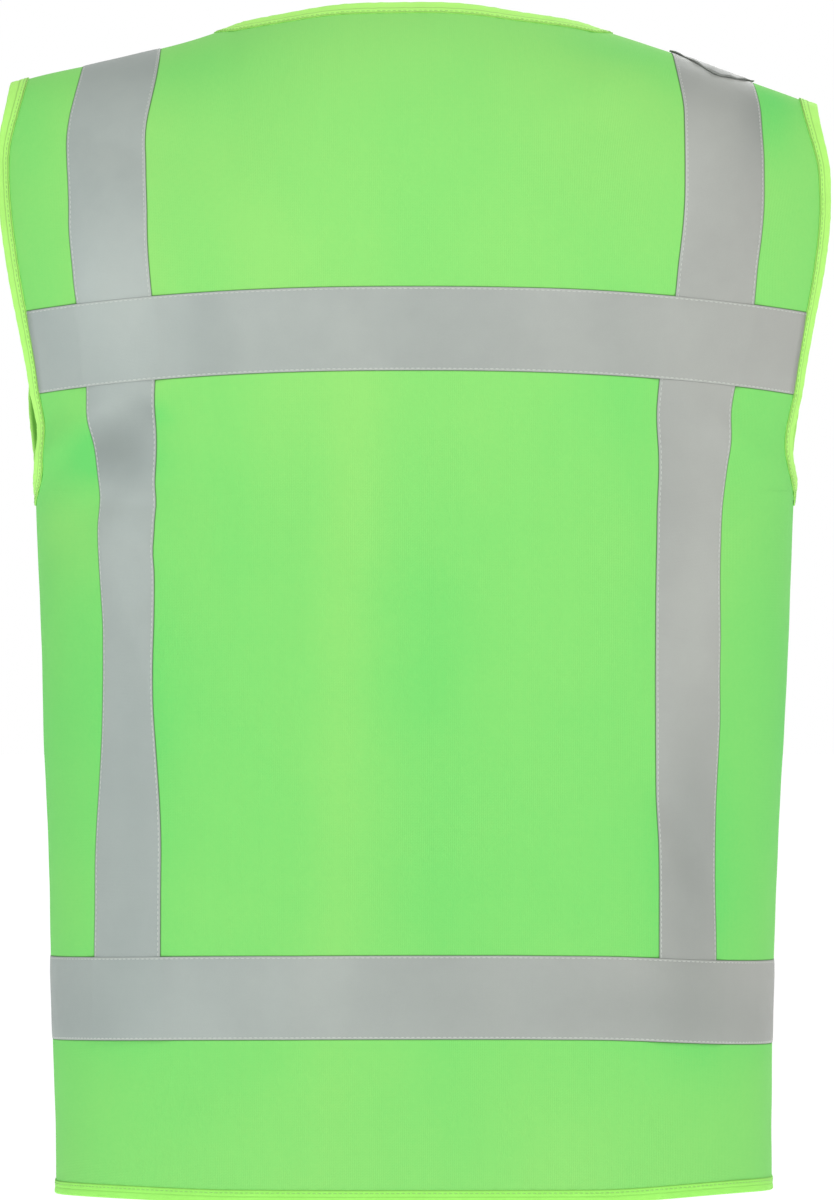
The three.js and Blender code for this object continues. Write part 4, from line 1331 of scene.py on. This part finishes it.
def eased(values):
    """Rounds the corners at the middle of a path, and leaves its ends."""
    near = smooth(1.6 - 4.2 * np.abs(np.linspace(-1, 1, len(values))))
    for _ in range(14):
        middle = values.copy()
        middle[1:-1] = (values[:-2] + 2 * values[1:-1] + values[2:]) / 4
        values = values * (1 - near) + middle * near
    return values


def armhole_path(body, hand):
    """Turn and dome angles round an armhole, from the ridge down the back and up the front."""
    o = body.o
    shares = np.linspace(0, 1, 260) ** 2.2
    tip = body.ridge(np.array(o.chest_half + o.shoulder_out))
    height = o.underarm + (tip - o.underarm) * shares
    turns = []
    domes = []
    for side in (BACK, FRONT):
        turn = body.edge_turn(height, side, hand)
        dome = body.dome_at(body.half_width(height) * body.section_x(turn), height)
        dome[-1] = 0
        turns.append(turn)
        domes.append(dome)
    turn_all = np.concatenate([turns[0][::-1], np.pi - turns[1][1:]])
    dome_all = np.concatenate([domes[0][::-1], domes[1][1:]])
    turn_all, dome_all = resampled(body, turn_all, dome_all, PATH_STEP)
    turn_all, dome_all = eased(turn_all), eased(dome_all)
    return SIGN[hand] * turn_all[:-1], dome_all[:-1]


def neck_path(body):
    """Turn and dome angles along the neck, from the right front's point to the left front's."""
    o = body.o
    lean = np.sin(np.linspace(0, QUARTER, 160))
    back_x = o.neck_half * lean
    back_height = body.neck_edge(BACK, back_x)
    back_turn = body.turn_at(back_x, back_height)
    back_dome = body.dome_at(back_x, back_height)
    back_dome[-1] = 0
    front_x = body.zip_edge + (o.neck_half - body.zip_edge) * lean[::-1]
    front_height = body.neck_edge(FRONT, front_x)
    front_turn = np.pi - body.turn_at(front_x, front_height)
    front_dome = body.dome_at(front_x, front_height)
    front_dome[0] = 0
    half_turn = np.concatenate([back_turn, front_turn])
    half_dome = np.concatenate([back_dome, front_dome])
    turn = np.concatenate([-half_turn[:0:-1], half_turn])
    dome = np.concatenate([half_dome[:0:-1], half_dome])
    return resampled(body, turn, dome, PATH_STEP)


def hem_path(body):
    """Turn and dome angles round the hem, from the right front edge to the left front edge."""
    start = float(body.turn_at(np.array(body.zip_edge), np.array(0.0)))
    turn = np.linspace(-(math.pi - start), math.pi - start, 900)
    x = body.half_width(np.zeros_like(turn)) * body.section_x(turn)
    return resampled(body, turn, body.dome_at(x, np.zeros_like(turn)), PATH_STEP)


class VEST_OT_bindings(bpy.types.Operator):
    """Make the neck and armhole bindings and the hem, with their stitches"""

    bl_idname = "vest.bindings"
    bl_label = "Bindings"

    def execute(self, context):
        body = Body(context)
        cloth = body.c
        look = finish_of(context, "binding")
        lines = []
        for hand, sign in SIGN.items():
            turn, dome = armhole_path(body, hand)
            piece, line = fold_over(
                body, f"armhole_edge_{hand}", turn, dome, cloth.binding_width, look, sign,
                closed=True, extra=0.0004,
            )
            lines.append(line)
            finish_piece(piece, "vest", "binding", f"armhole_binding_{hand}")
        turn, dome = neck_path(body)
        piece, line = fold_over(
            body, "neck_edge", turn, dome, cloth.neck_width, look, 1, extra=0.0003
        )
        lines.append(line)
        finish_piece(piece, "vest", "binding", "neck_binding")
        turn, dome = hem_path(body)
        piece, line = fold_over(
            body, "hem_edge", turn, dome, cloth.hem_width, finish_of(context, "hem"), -1
        )
        finish_piece(piece, "vest", "hem", "hem_binding")
        sew(context, "binding_stitches", lines, "thread", "binding")
        sew(context, "hem_stitches", [line], "thread", "hem")
        return {"FINISHED"}


# ---- small hard pieces ----
def prism(outline, axis, low, high, hole=None):
    """Points and faces of an outline drawn out along an axis, with a hole of as many points."""
    loops = [outline] if hole is None else [outline, hole]
    count = len(outline)
    points = []
    for level in (low, high):
        for loop in loops:
            for place in loop:
                place = list(place)
                place.insert(axis, level)
                points.append(tuple(place))
    layer = count * len(loops)
    faces = []
    for k in range(count):
        n = (k + 1) % count
        for start in range(0, layer, count):
            faces.append((start + k, start + n, start + n + layer, start + k + layer))
        if hole is not None:
            faces.append((k, n, n + count, k + count))
            faces.append((layer + k, layer + k + count, layer + n + count, layer + n))
    if hole is None:
        faces.append(tuple(range(count)))
        faces.append(tuple(range(layer, layer + count)))
    return points, faces


def bevelled(name, solids, look, bevel):
    """One mesh of several prisms with rounded edges."""
    points = []
    faces = []
    for some_points, some_faces in solids:
        faces += [tuple(len(points) + k for k in face) for face in some_faces]
        points += some_points
    made = bmesh.new()
    corners = [made.verts.new(point) for point in points]
    for face in faces:
        made.faces.new([corners[k] for k in face])
    bmesh.ops.recalc_face_normals(made, faces=made.faces)
    mesh = bpy.data.meshes.new(name)
    made.to_mesh(mesh)
    made.free()
    mesh.materials.append(look)
    base = bpy.data.objects.new(name + "_plain", mesh)
    bpy.context.scene.collection.objects.link(base)
    rounding = base.modifiers.new("round", "BEVEL")
    rounding.width = bevel
    rounding.segments = 2
    rounding.limit_method = "ANGLE"
    return settled(name, base)


def settled(name, base):
    """The plain mesh that an object's modifiers make; the object itself goes."""
    ready = base.evaluated_get(bpy.context.evaluated_depsgraph_get())
    mesh = bpy.data.meshes.new_from_object(ready)
    base.modifiers.clear()
    bpy.data.objects.remove(base)
    mesh.name = name
    mesh.polygons.foreach_set("use_smooth", [True] * len(mesh.polygons))
    mesh.set_sharp_from_angle(angle=SHARP_ANGLE)
    piece = bpy.data.objects.new(name, mesh)
    bpy.context.scene.collection.objects.link(piece)
    return piece


def oval(width, height, middle=(0.0, 0.0), count=32, power=4.0):
    """A rounded oblong outline."""
    outline = []
    for k in range(count):
        angle = 2 * math.pi * (k + 0.5) / count
        c, s = math.cos(angle), math.sin(angle)
        a = middle[0] + width / 2 * math.copysign(abs(c) ** (2 / power), c)
        b = middle[1] + height / 2 * math.copysign(abs(s) ** (2 / power), s)
        outline.append((a, b))
    return outline


# ---- the zip ----
def tooth_tree(look):
    """A tree that sets zip teeth one above another."""
    places = [(label, "Vector") for label in ("Start", "Step", "Block", "Head", "Head Place")]
    tree, start, end = new_tree("zip_teeth", [("Count", "Int"), *places])
    line = tree.nodes.new("GeometryNodeMeshLine")
    block = tree.nodes.new("GeometryNodeMeshCube")
    head = ball(tree, 8, 5)
    shaped = tree.nodes.new("GeometryNodeTransform")
    joined = tree.nodes.new("GeometryNodeJoinGeometry")
    for label, node, into in (
        ("Count", line, "Count"), ("Start", line, "Start Location"), ("Step", line, "Offset"),
        ("Block", block, "Size"), ("Head", shaped, "Scale"), ("Head Place", shaped, "Translation"),
    ):
        tree.links.new(start.outputs[label], node.inputs[into])
    tree.links.new(head.outputs["Mesh"], shaped.inputs["Geometry"])
    tree.links.new(block.outputs["Mesh"], joined.inputs["Geometry"])
    tree.links.new(shaped.outputs["Geometry"], joined.inputs["Geometry"])
    laid_out(tree, line.outputs["Mesh"], joined.outputs["Geometry"], look, end)
    return tree


def zip_half(context, body, hand, sign):
    """A zip tape with its teeth and its top stop."""
    teeth_low, teeth_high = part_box(f"zip_teeth_{hand}")
    tape_low, tape_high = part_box(f"zip_tape_{hand}")
    middle_y = (teeth_low.y + teeth_high.y) / 2
    outer_x = max(abs(tape_low.x), abs(tape_high.x))
    across = np.array([1.1, 1.4, 2.2, 3.0, 3.4, 5.0, 8.0, 12.0, 16.0, outer_x / MM]) * MM
    cord = 0.0003 * np.exp(-(((across - 0.0014) / 0.0006) ** 2))
    hem_z = node_low("hem_binding").z + 0.003
    up = np.concatenate([[hem_z], np.linspace(tape_low.z, tape_high.z, 70)])
    box_top = node_high("zip_retainer_box").z
    up = np.insert(up, 1, [box_top + 0.0002, box_top + 0.0007])
    up = np.append(up, body.neck_edge(FRONT, body.zip_edge) - body.o.neck_point - 0.004)
    x, z = np.meshgrid(across, up, indexing="ij")
    half = (0.00026 + cord)[:, None] * np.ones(len(up))
    below_box = z < box_top + 0.0004
    x = np.where(below_box, 0.0047 + (x - 0.0011) * (outer_x - 0.0047) / (outer_x - 0.0011), x)
    outer = np.stack([sign * x, middle_y - half, z], axis=-1)
    inner = np.stack([sign * x, middle_y + half, z], axis=-1)
    tape = cloth_solid(f"zip_cloth_{hand}", outer, inner, finish_of(context, "zip_tape"))
    finish_piece(tape, "vest", "zip_tape", f"zip_tape_{hand}")

    zip_sizes = context.scene.vest_zip
    look = finish_of(context, "zip_plastic")
    pitch = zip_sizes.tooth_pitch
    deep = teeth_high.y - teeth_low.y
    block_x = 0.00195
    start_z = teeth_low.z + pitch * (0.35 if sign > 0 else 0.85)
    mesh = bpy.data.meshes.new("tooth_start")
    mesh.from_pydata([(0, 0, 0)], [], [])
    base = bpy.data.objects.new(f"tooth_start_{hand}", mesh)
    context.scene.collection.objects.link(base)
    inputs = {
        "Count": int((teeth_high.z - start_z) / pitch),
        "Start": (sign * block_x, middle_y, start_z),
        "Step": (0.0, 0.0, pitch),
        "Block": (0.0021, deep * 0.94, pitch * 0.44),
        "Head": (0.0019, deep * 0.86, pitch * 0.50),
        "Head Place": (-sign * 0.00065, 0.0, 0.0),
    }
    teeth = grown(f"zip_teeth_row_{hand}", base, tooth_tree(look), inputs)
    finish_piece(teeth, "vest", "zip_plastic", f"zip_teeth_{hand}")
    low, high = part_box(f"zip_top_stop_{hand}")
    outline = oval(high.x - low.x, high.z - low.z, ((high.x + low.x) / 2, (high.z + low.z) / 2), 16)
    stop = bevelled(f"zip_stop_{hand}", [prism(outline, 1, low.y, high.y)], look, 0.0003)
    finish_piece(stop, "vest", "zip_plastic", f"zip_top_stop_{hand}")


def tapered(low, high, top_half, bottom_half, corner=0.0012):
    """An outline in X and Z that narrows downwards, with cut corners."""
    right = [
        (bottom_half - corner, low), (bottom_half, low + corner),
        (top_half, high - 2.2 * corner), (top_half - 1.6 * corner, high),
    ]
    return right + [(-x, z) for x, z in reversed(right)]


class VEST_OT_zip(bpy.types.Operator):
    """Make the zip: tapes, teeth, stops, pin, retainer box, slider, bail and pull"""

    bl_idname = "vest.zip"
    bl_label = "Front zip"

    def execute(self, context):
        body = Body(context)
        look = finish_of(context, "zip_plastic")
        for hand, sign in SIGN.items():
            zip_half(context, body, hand, sign)

        low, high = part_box("zip_retainer_box")
        middle_z = (low.z + high.z) / 2
        shell = oval(high.x - low.x, high.z - low.z, (0, middle_z), 24, 5.0)
        shell = prism(shell, 1, low.y, high.y)
        rib = prism(oval(0.0044, 0.0052, (0, middle_z), 20), 1, low.y - 0.0003, low.y + 0.0004)
        pin_low, pin_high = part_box("zip_insertion_pin")
        post = [(-pin_high.x, high.z - 0.001), (-pin_low.x, high.z - 0.001)]
        post += [(-pin_low.x, pin_high.z), (-pin_high.x, pin_high.z)]
        post = prism(post, 1, pin_low.y, pin_high.y)
        box = bevelled("zip_box", [shell, rib, post], look, 0.0003)
        finish_piece(box, "vest", "zip_plastic", "zip_retainer_box")
        bar = prism(tapered_pin(pin_low, pin_high), 1, pin_low.y, pin_high.y)
        pin = bevelled("zip_pin", [bar], look, 0.0003)
        finish_piece(pin, "vest", "zip_plastic", "zip_insertion_pin")

        low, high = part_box("zip_slider")
        plate = 0.0011
        outline = tapered(low.z, high.z, high.x, high.x * 0.76)
        front = prism(outline, 1, low.y, low.y + plate)
        back = prism(outline, 1, high.y - plate, high.y)
        web = oval(0.0005, 0.0045, (0, high.z - 0.0026), 16, 2.4)
        web = prism(web, 1, low.y + plate / 2, high.y - plate / 2)
        lips = []
        for side in (1, -1):
            wall = [
                (side * high.x * 0.76, low.z + 0.001), (side * high.x * 0.98, high.z - 0.004),
                (side * (high.x * 0.98 - 0.0006), high.z - 0.004),
                (side * (high.x * 0.76 - 0.0006), low.z + 0.001),
            ]
            lips.append(prism(wall, 1, low.y + plate / 2, low.y + plate + 0.0003))
            lips.append(prism(wall, 1, high.y - plate - 0.0003, high.y - plate / 2))
        slider = bevelled("slider", [front, back, web, *lips], look, 0.00035)
        finish_piece(slider, "slider", "zip_plastic", "zip_slider")

        low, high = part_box("zip_slider_bail")
        bail = bevelled("slider_bail", [prism(arch(low, high), 0, low.x, high.x)], look, 0.00025)
        finish_piece(bail, "slider", "zip_plastic", "zip_slider_bail")

        low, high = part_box("zip_pull")
        finish_piece(pull(low, high, look), "pull", "zip_plastic", "zip_pull")
        return {"FINISHED"}


def tapered_pin(low, high):
    """Outline of the insertion pin: a slim bar with a pointed lower end."""
    inset = (high.x - low.x) * 0.28
    return [
        (low.x + inset, low.z), (high.x - inset, low.z), (high.x, low.z + 0.0018),
        (high.x, high.z), (low.x, high.z), (low.x, low.z + 0.0018),
    ]


def arch(low, high):
    """Outline of the bail in Y and Z: an arch over the slider's front plate."""
    bar = 0.0009
    middle = (low.z + high.z) / 2
    reach = (high.z - low.z) / 2
    foot = high.y + 0.0003
    outer = []
    inner = []
    for k in range(9):
        angle = math.pi * k / 8
        rise = math.sin(angle) ** 0.6
        slide = -math.cos(angle)
        outer.append((foot + (low.y - foot) * rise, middle + slide * reach))
        inner.append((foot + (low.y + bar - foot) * rise, middle + slide * (reach - bar)))
    return outer + inner[::-1]


def pull(low, high, look):
    """The zip pull: a slim tongue with a window over the bail and a ribbed grip."""
    count = 40
    half = high.x
    window_z = high.z - 0.0035
    window = oval(2 * half - 0.0036, 0.0040, (0, window_z), count, 4.0)
    outline = []
    for k in range(count):
        angle = 2 * math.pi * (k + 0.5) / count
        c, s = math.cos(angle), math.sin(angle)
        x = (half - (0.0005 if s < 0 else 0)) * math.copysign(abs(c) ** 0.5, c)
        length = (high.z - window_z) if s > 0 else (window_z - low.z)
        outline.append((x, window_z + length * math.copysign(abs(s) ** (0.5 if s > 0 else 0.72), s)))
    solids = [prism(outline, 1, low.y, high.y, hole=window)]
    for k in range(6):
        rib_z = low.z + 0.0042 + k * 0.0019
        rib = oval(half * 1.15, 0.0009, (0, rib_z), 12, 3.0)
        solids.append(prism(rib, 1, low.y - 0.0003, high.y + 0.0003))
    return bevelled("pull", solids, look, 0.00025)


# ---- inside the back neck ----
class VEST_OT_neck_inside(bpy.types.Operator):
    """Make the blank label and the hanger loop inside the back neck"""

    bl_idname = "vest.neck_inside"
    bl_label = "Label and hanger loop"

    def execute(self, context):
        body = Body(context)
        low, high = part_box("neck_label")
        x = np.linspace(low.x, high.x, 25)
        drop = np.linspace(0.026, 0.0, 19)
        x, drop = np.meshgrid(x, drop, indexing="ij")
        height = body.neck_edge(BACK, x) - body.c.binding_width / 2 - drop
        turn = np.sign(x) * body.turn_at(np.abs(x), height)
        dome = body.dome_at(x, height)
        curl = -0.0008 * smooth(drop / 0.026) * (x / high.x) ** 2
        hang = -0.0030 + 0.0022 * smooth(1 - drop / 0.012) + curl
        outer = body.place(turn, dome, hang)
        inner = body.place(turn, dome, hang - 0.00035)
        label = cloth_solid("blank_label", outer, inner, finish_of(context, "label"))
        finish_piece(label, "vest", "label", "neck_label")
        border = [inner[2:-2, 2], inner[2:-2, -3], inner[2, 2:-2], inner[-3, 2:-2]]
        sew(context, "label_stitches", border, "pale_thread", "label")

        low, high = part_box("hanger_loop")
        thick = 0.0008
        bow = 0.018
        along = np.concatenate([
            np.linspace(low.x, -bow, 14), np.linspace(-0.014, 0.014, 8), np.linspace(bow, high.x, 14),
        ])
        back = smooth((np.abs(along) - bow) / 0.012)
        y = low.y + thick + (high.y - low.y - thick) * back
        rings = []
        middle = (low.z + high.z) / 2
        half = (high.z - low.z) / 2
        for px, py in zip(along, y):
            rings.append([
                (px, py, middle - half), (px, py, middle), (px, py, middle + half),
                (px, py - thick * 0.7, middle + half), (px, py - thick, middle + half * 0.8),
                (px, py - thick, middle - half * 0.8), (px, py - thick * 0.7, middle - half),
            ])
        loop = swept_solid("loop_ribbon", np.array(rings), finish_of(context, "binding"))
        finish_piece(loop, "vest", "binding", "hanger_loop")
        return {"FINISHED"}


# ---- stage ----
class VEST_OT_stage(bpy.types.Operator):
    """Set the camera, the soft light and the pale floor"""

    bl_idname = "vest.stage"
    bl_label = "Stage"

    def execute(self, context):
        stage = context.scene.vest_stage
        neck_point = context.scene.vest_outline.neck_point
        middle = Vector((stage.centre_x, 0.06, stage.centre_height - neck_point))
        data = bpy.data.cameras.new("camera")
        data.sensor_fit = "HORIZONTAL"
        data.sensor_width = 36.0
        data.lens = 36.0 * stage.distance / stage.view_width
        data.clip_end = 60.0
        camera = bpy.data.objects.new("camera", data)
        context.scene.collection.objects.link(camera)
        camera.location = middle + Vector((0, stage.distance, 0))
        camera.rotation_euler = (QUARTER, 0, math.pi)
        context.scene.camera = camera
        self.light(context)
        self.floor(-neck_point - stage.floor_drop)
        return {"FINISHED"}

    @staticmethod
    def light(context):
        world = bpy.data.worlds.new("studio")
        world.use_nodes = True
        world.node_tree.nodes["Background"].inputs["Color"].default_value = (1, 1, 1, 1)
        sky = world.node_tree.nodes["Background"].inputs["Strength"]
        path = world.node_tree.nodes.new("ShaderNodeLightPath")
        level = world.node_tree.nodes.new("ShaderNodeMapRange")
        level.inputs["To Min"].default_value = context.scene.vest_stage.world
        level.inputs["To Max"].default_value = 1.0
        world.node_tree.links.new(path.outputs["Is Camera Ray"], level.inputs["Value"])
        world.node_tree.links.new(level.outputs["Result"], sky)
        context.scene.world = world
        context.scene.view_settings.view_transform = "Standard"
        for name, place, power, wide, tint in (
            ("key_light", (-0.7, 1.9, 2.4), 62.0, 0.8, (1.0, 1.0, 0.97)),
            ("cool_light", (2.6, 1.9, 0.2), 24.0, 1.0, (0.86, 0.97, 1.0)),
            ("warm_light", (-2.8, 1.6, 0.0), 8.0, 1.0, (1.0, 0.95, 0.92)),
            ("front_light", (-0.8, -3.0, 1.4), 46.0, 2.0, (1.0, 1.0, 1.0)),
        ):
            data = bpy.data.lights.new(name, "AREA")
            data.energy = power
            data.size = wide
            data.color = tint
            lamp = bpy.data.objects.new(name, data)
            context.scene.collection.objects.link(lamp)
            lamp.location = place
            aim = Vector((0, 0, -0.3)) - Vector(place)
            lamp.rotation_euler = aim.to_track_quat("-Z", "Y").to_euler()

    @staticmethod
    def floor(level):
        side = 80.0
        corners = [(x * side, y * side, level) for x, y in ((-1, -1), (1, -1), (1, 1), (-1, 1))]
        board = Board("vest_floor")
        tone = board.noise(board.coordinates(), 0.8, 2.0)
        look = board.finish(
            Base_Color=board.blend(tone, (0.96, 0.96, 0.96), (0.98, 0.98, 0.98)), Roughness=0.9,
            Emission_Color=(1.0, 1.0, 1.0, 1.0), Emission_Strength=0.6,
        )
        new_object("floor", np.array(corners), [(0, 1, 2, 3)], look, smooth_faces=False)


OPERATORS = (
    VEST_OT_stage, VEST_OT_panels, VEST_OT_tapes, VEST_OT_bindings, VEST_OT_zip, VEST_OT_neck_inside,
)


class VEST_PT_tools(bpy.types.Panel):
    """The vest's pieces"""

    bl_label = "Vest"
    bl_idname = "VEST_PT_tools"
    bl_space_type = "VIEW_3D"
    bl_region_type = "UI"
    bl_category = "Vest"

    def draw(self, context):
        for operator in OPERATORS:
            self.layout.operator(operator.bl_idname)
        for group in ("vest_outline", "vest_cloth", "vest_zip", "vest_stage"):
            box = self.layout.box()
            for key in getattr(context.scene, group).__annotations__:
                box.prop(getattr(context.scene, group), key)


GROUPS = {
    "vest_outline": VestOutline,
    "vest_cloth": VestCloth,
    "vest_zip": VestZip,
    "vest_stage": VestStage,
}


def register():
    """Registers the classes and hangs the settings on the scene."""
    for name, group in GROUPS.items():
        bpy.utils.register_class(group)
        setattr(bpy.types.Scene, name, PointerProperty(type=group))
    for item in (*OPERATORS, VEST_PT_tools):
        bpy.utils.register_class(item)


def unregister():
    """Takes the classes and the settings away."""
    for item in (VEST_PT_tools, *reversed(OPERATORS)):
        bpy.utils.unregister_class(item)
    for name, group in GROUPS.items():
        delattr(bpy.types.Scene, name)
        bpy.utils.unregister_class(group)


def main():
    """Makes the vest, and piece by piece."""
    register()
    for operator in OPERATORS:
        family, name = operator.bl_idname.split(".")
        getattr(getattr(bpy.ops, family), name)()


if __name__ == "__main__":
    main()
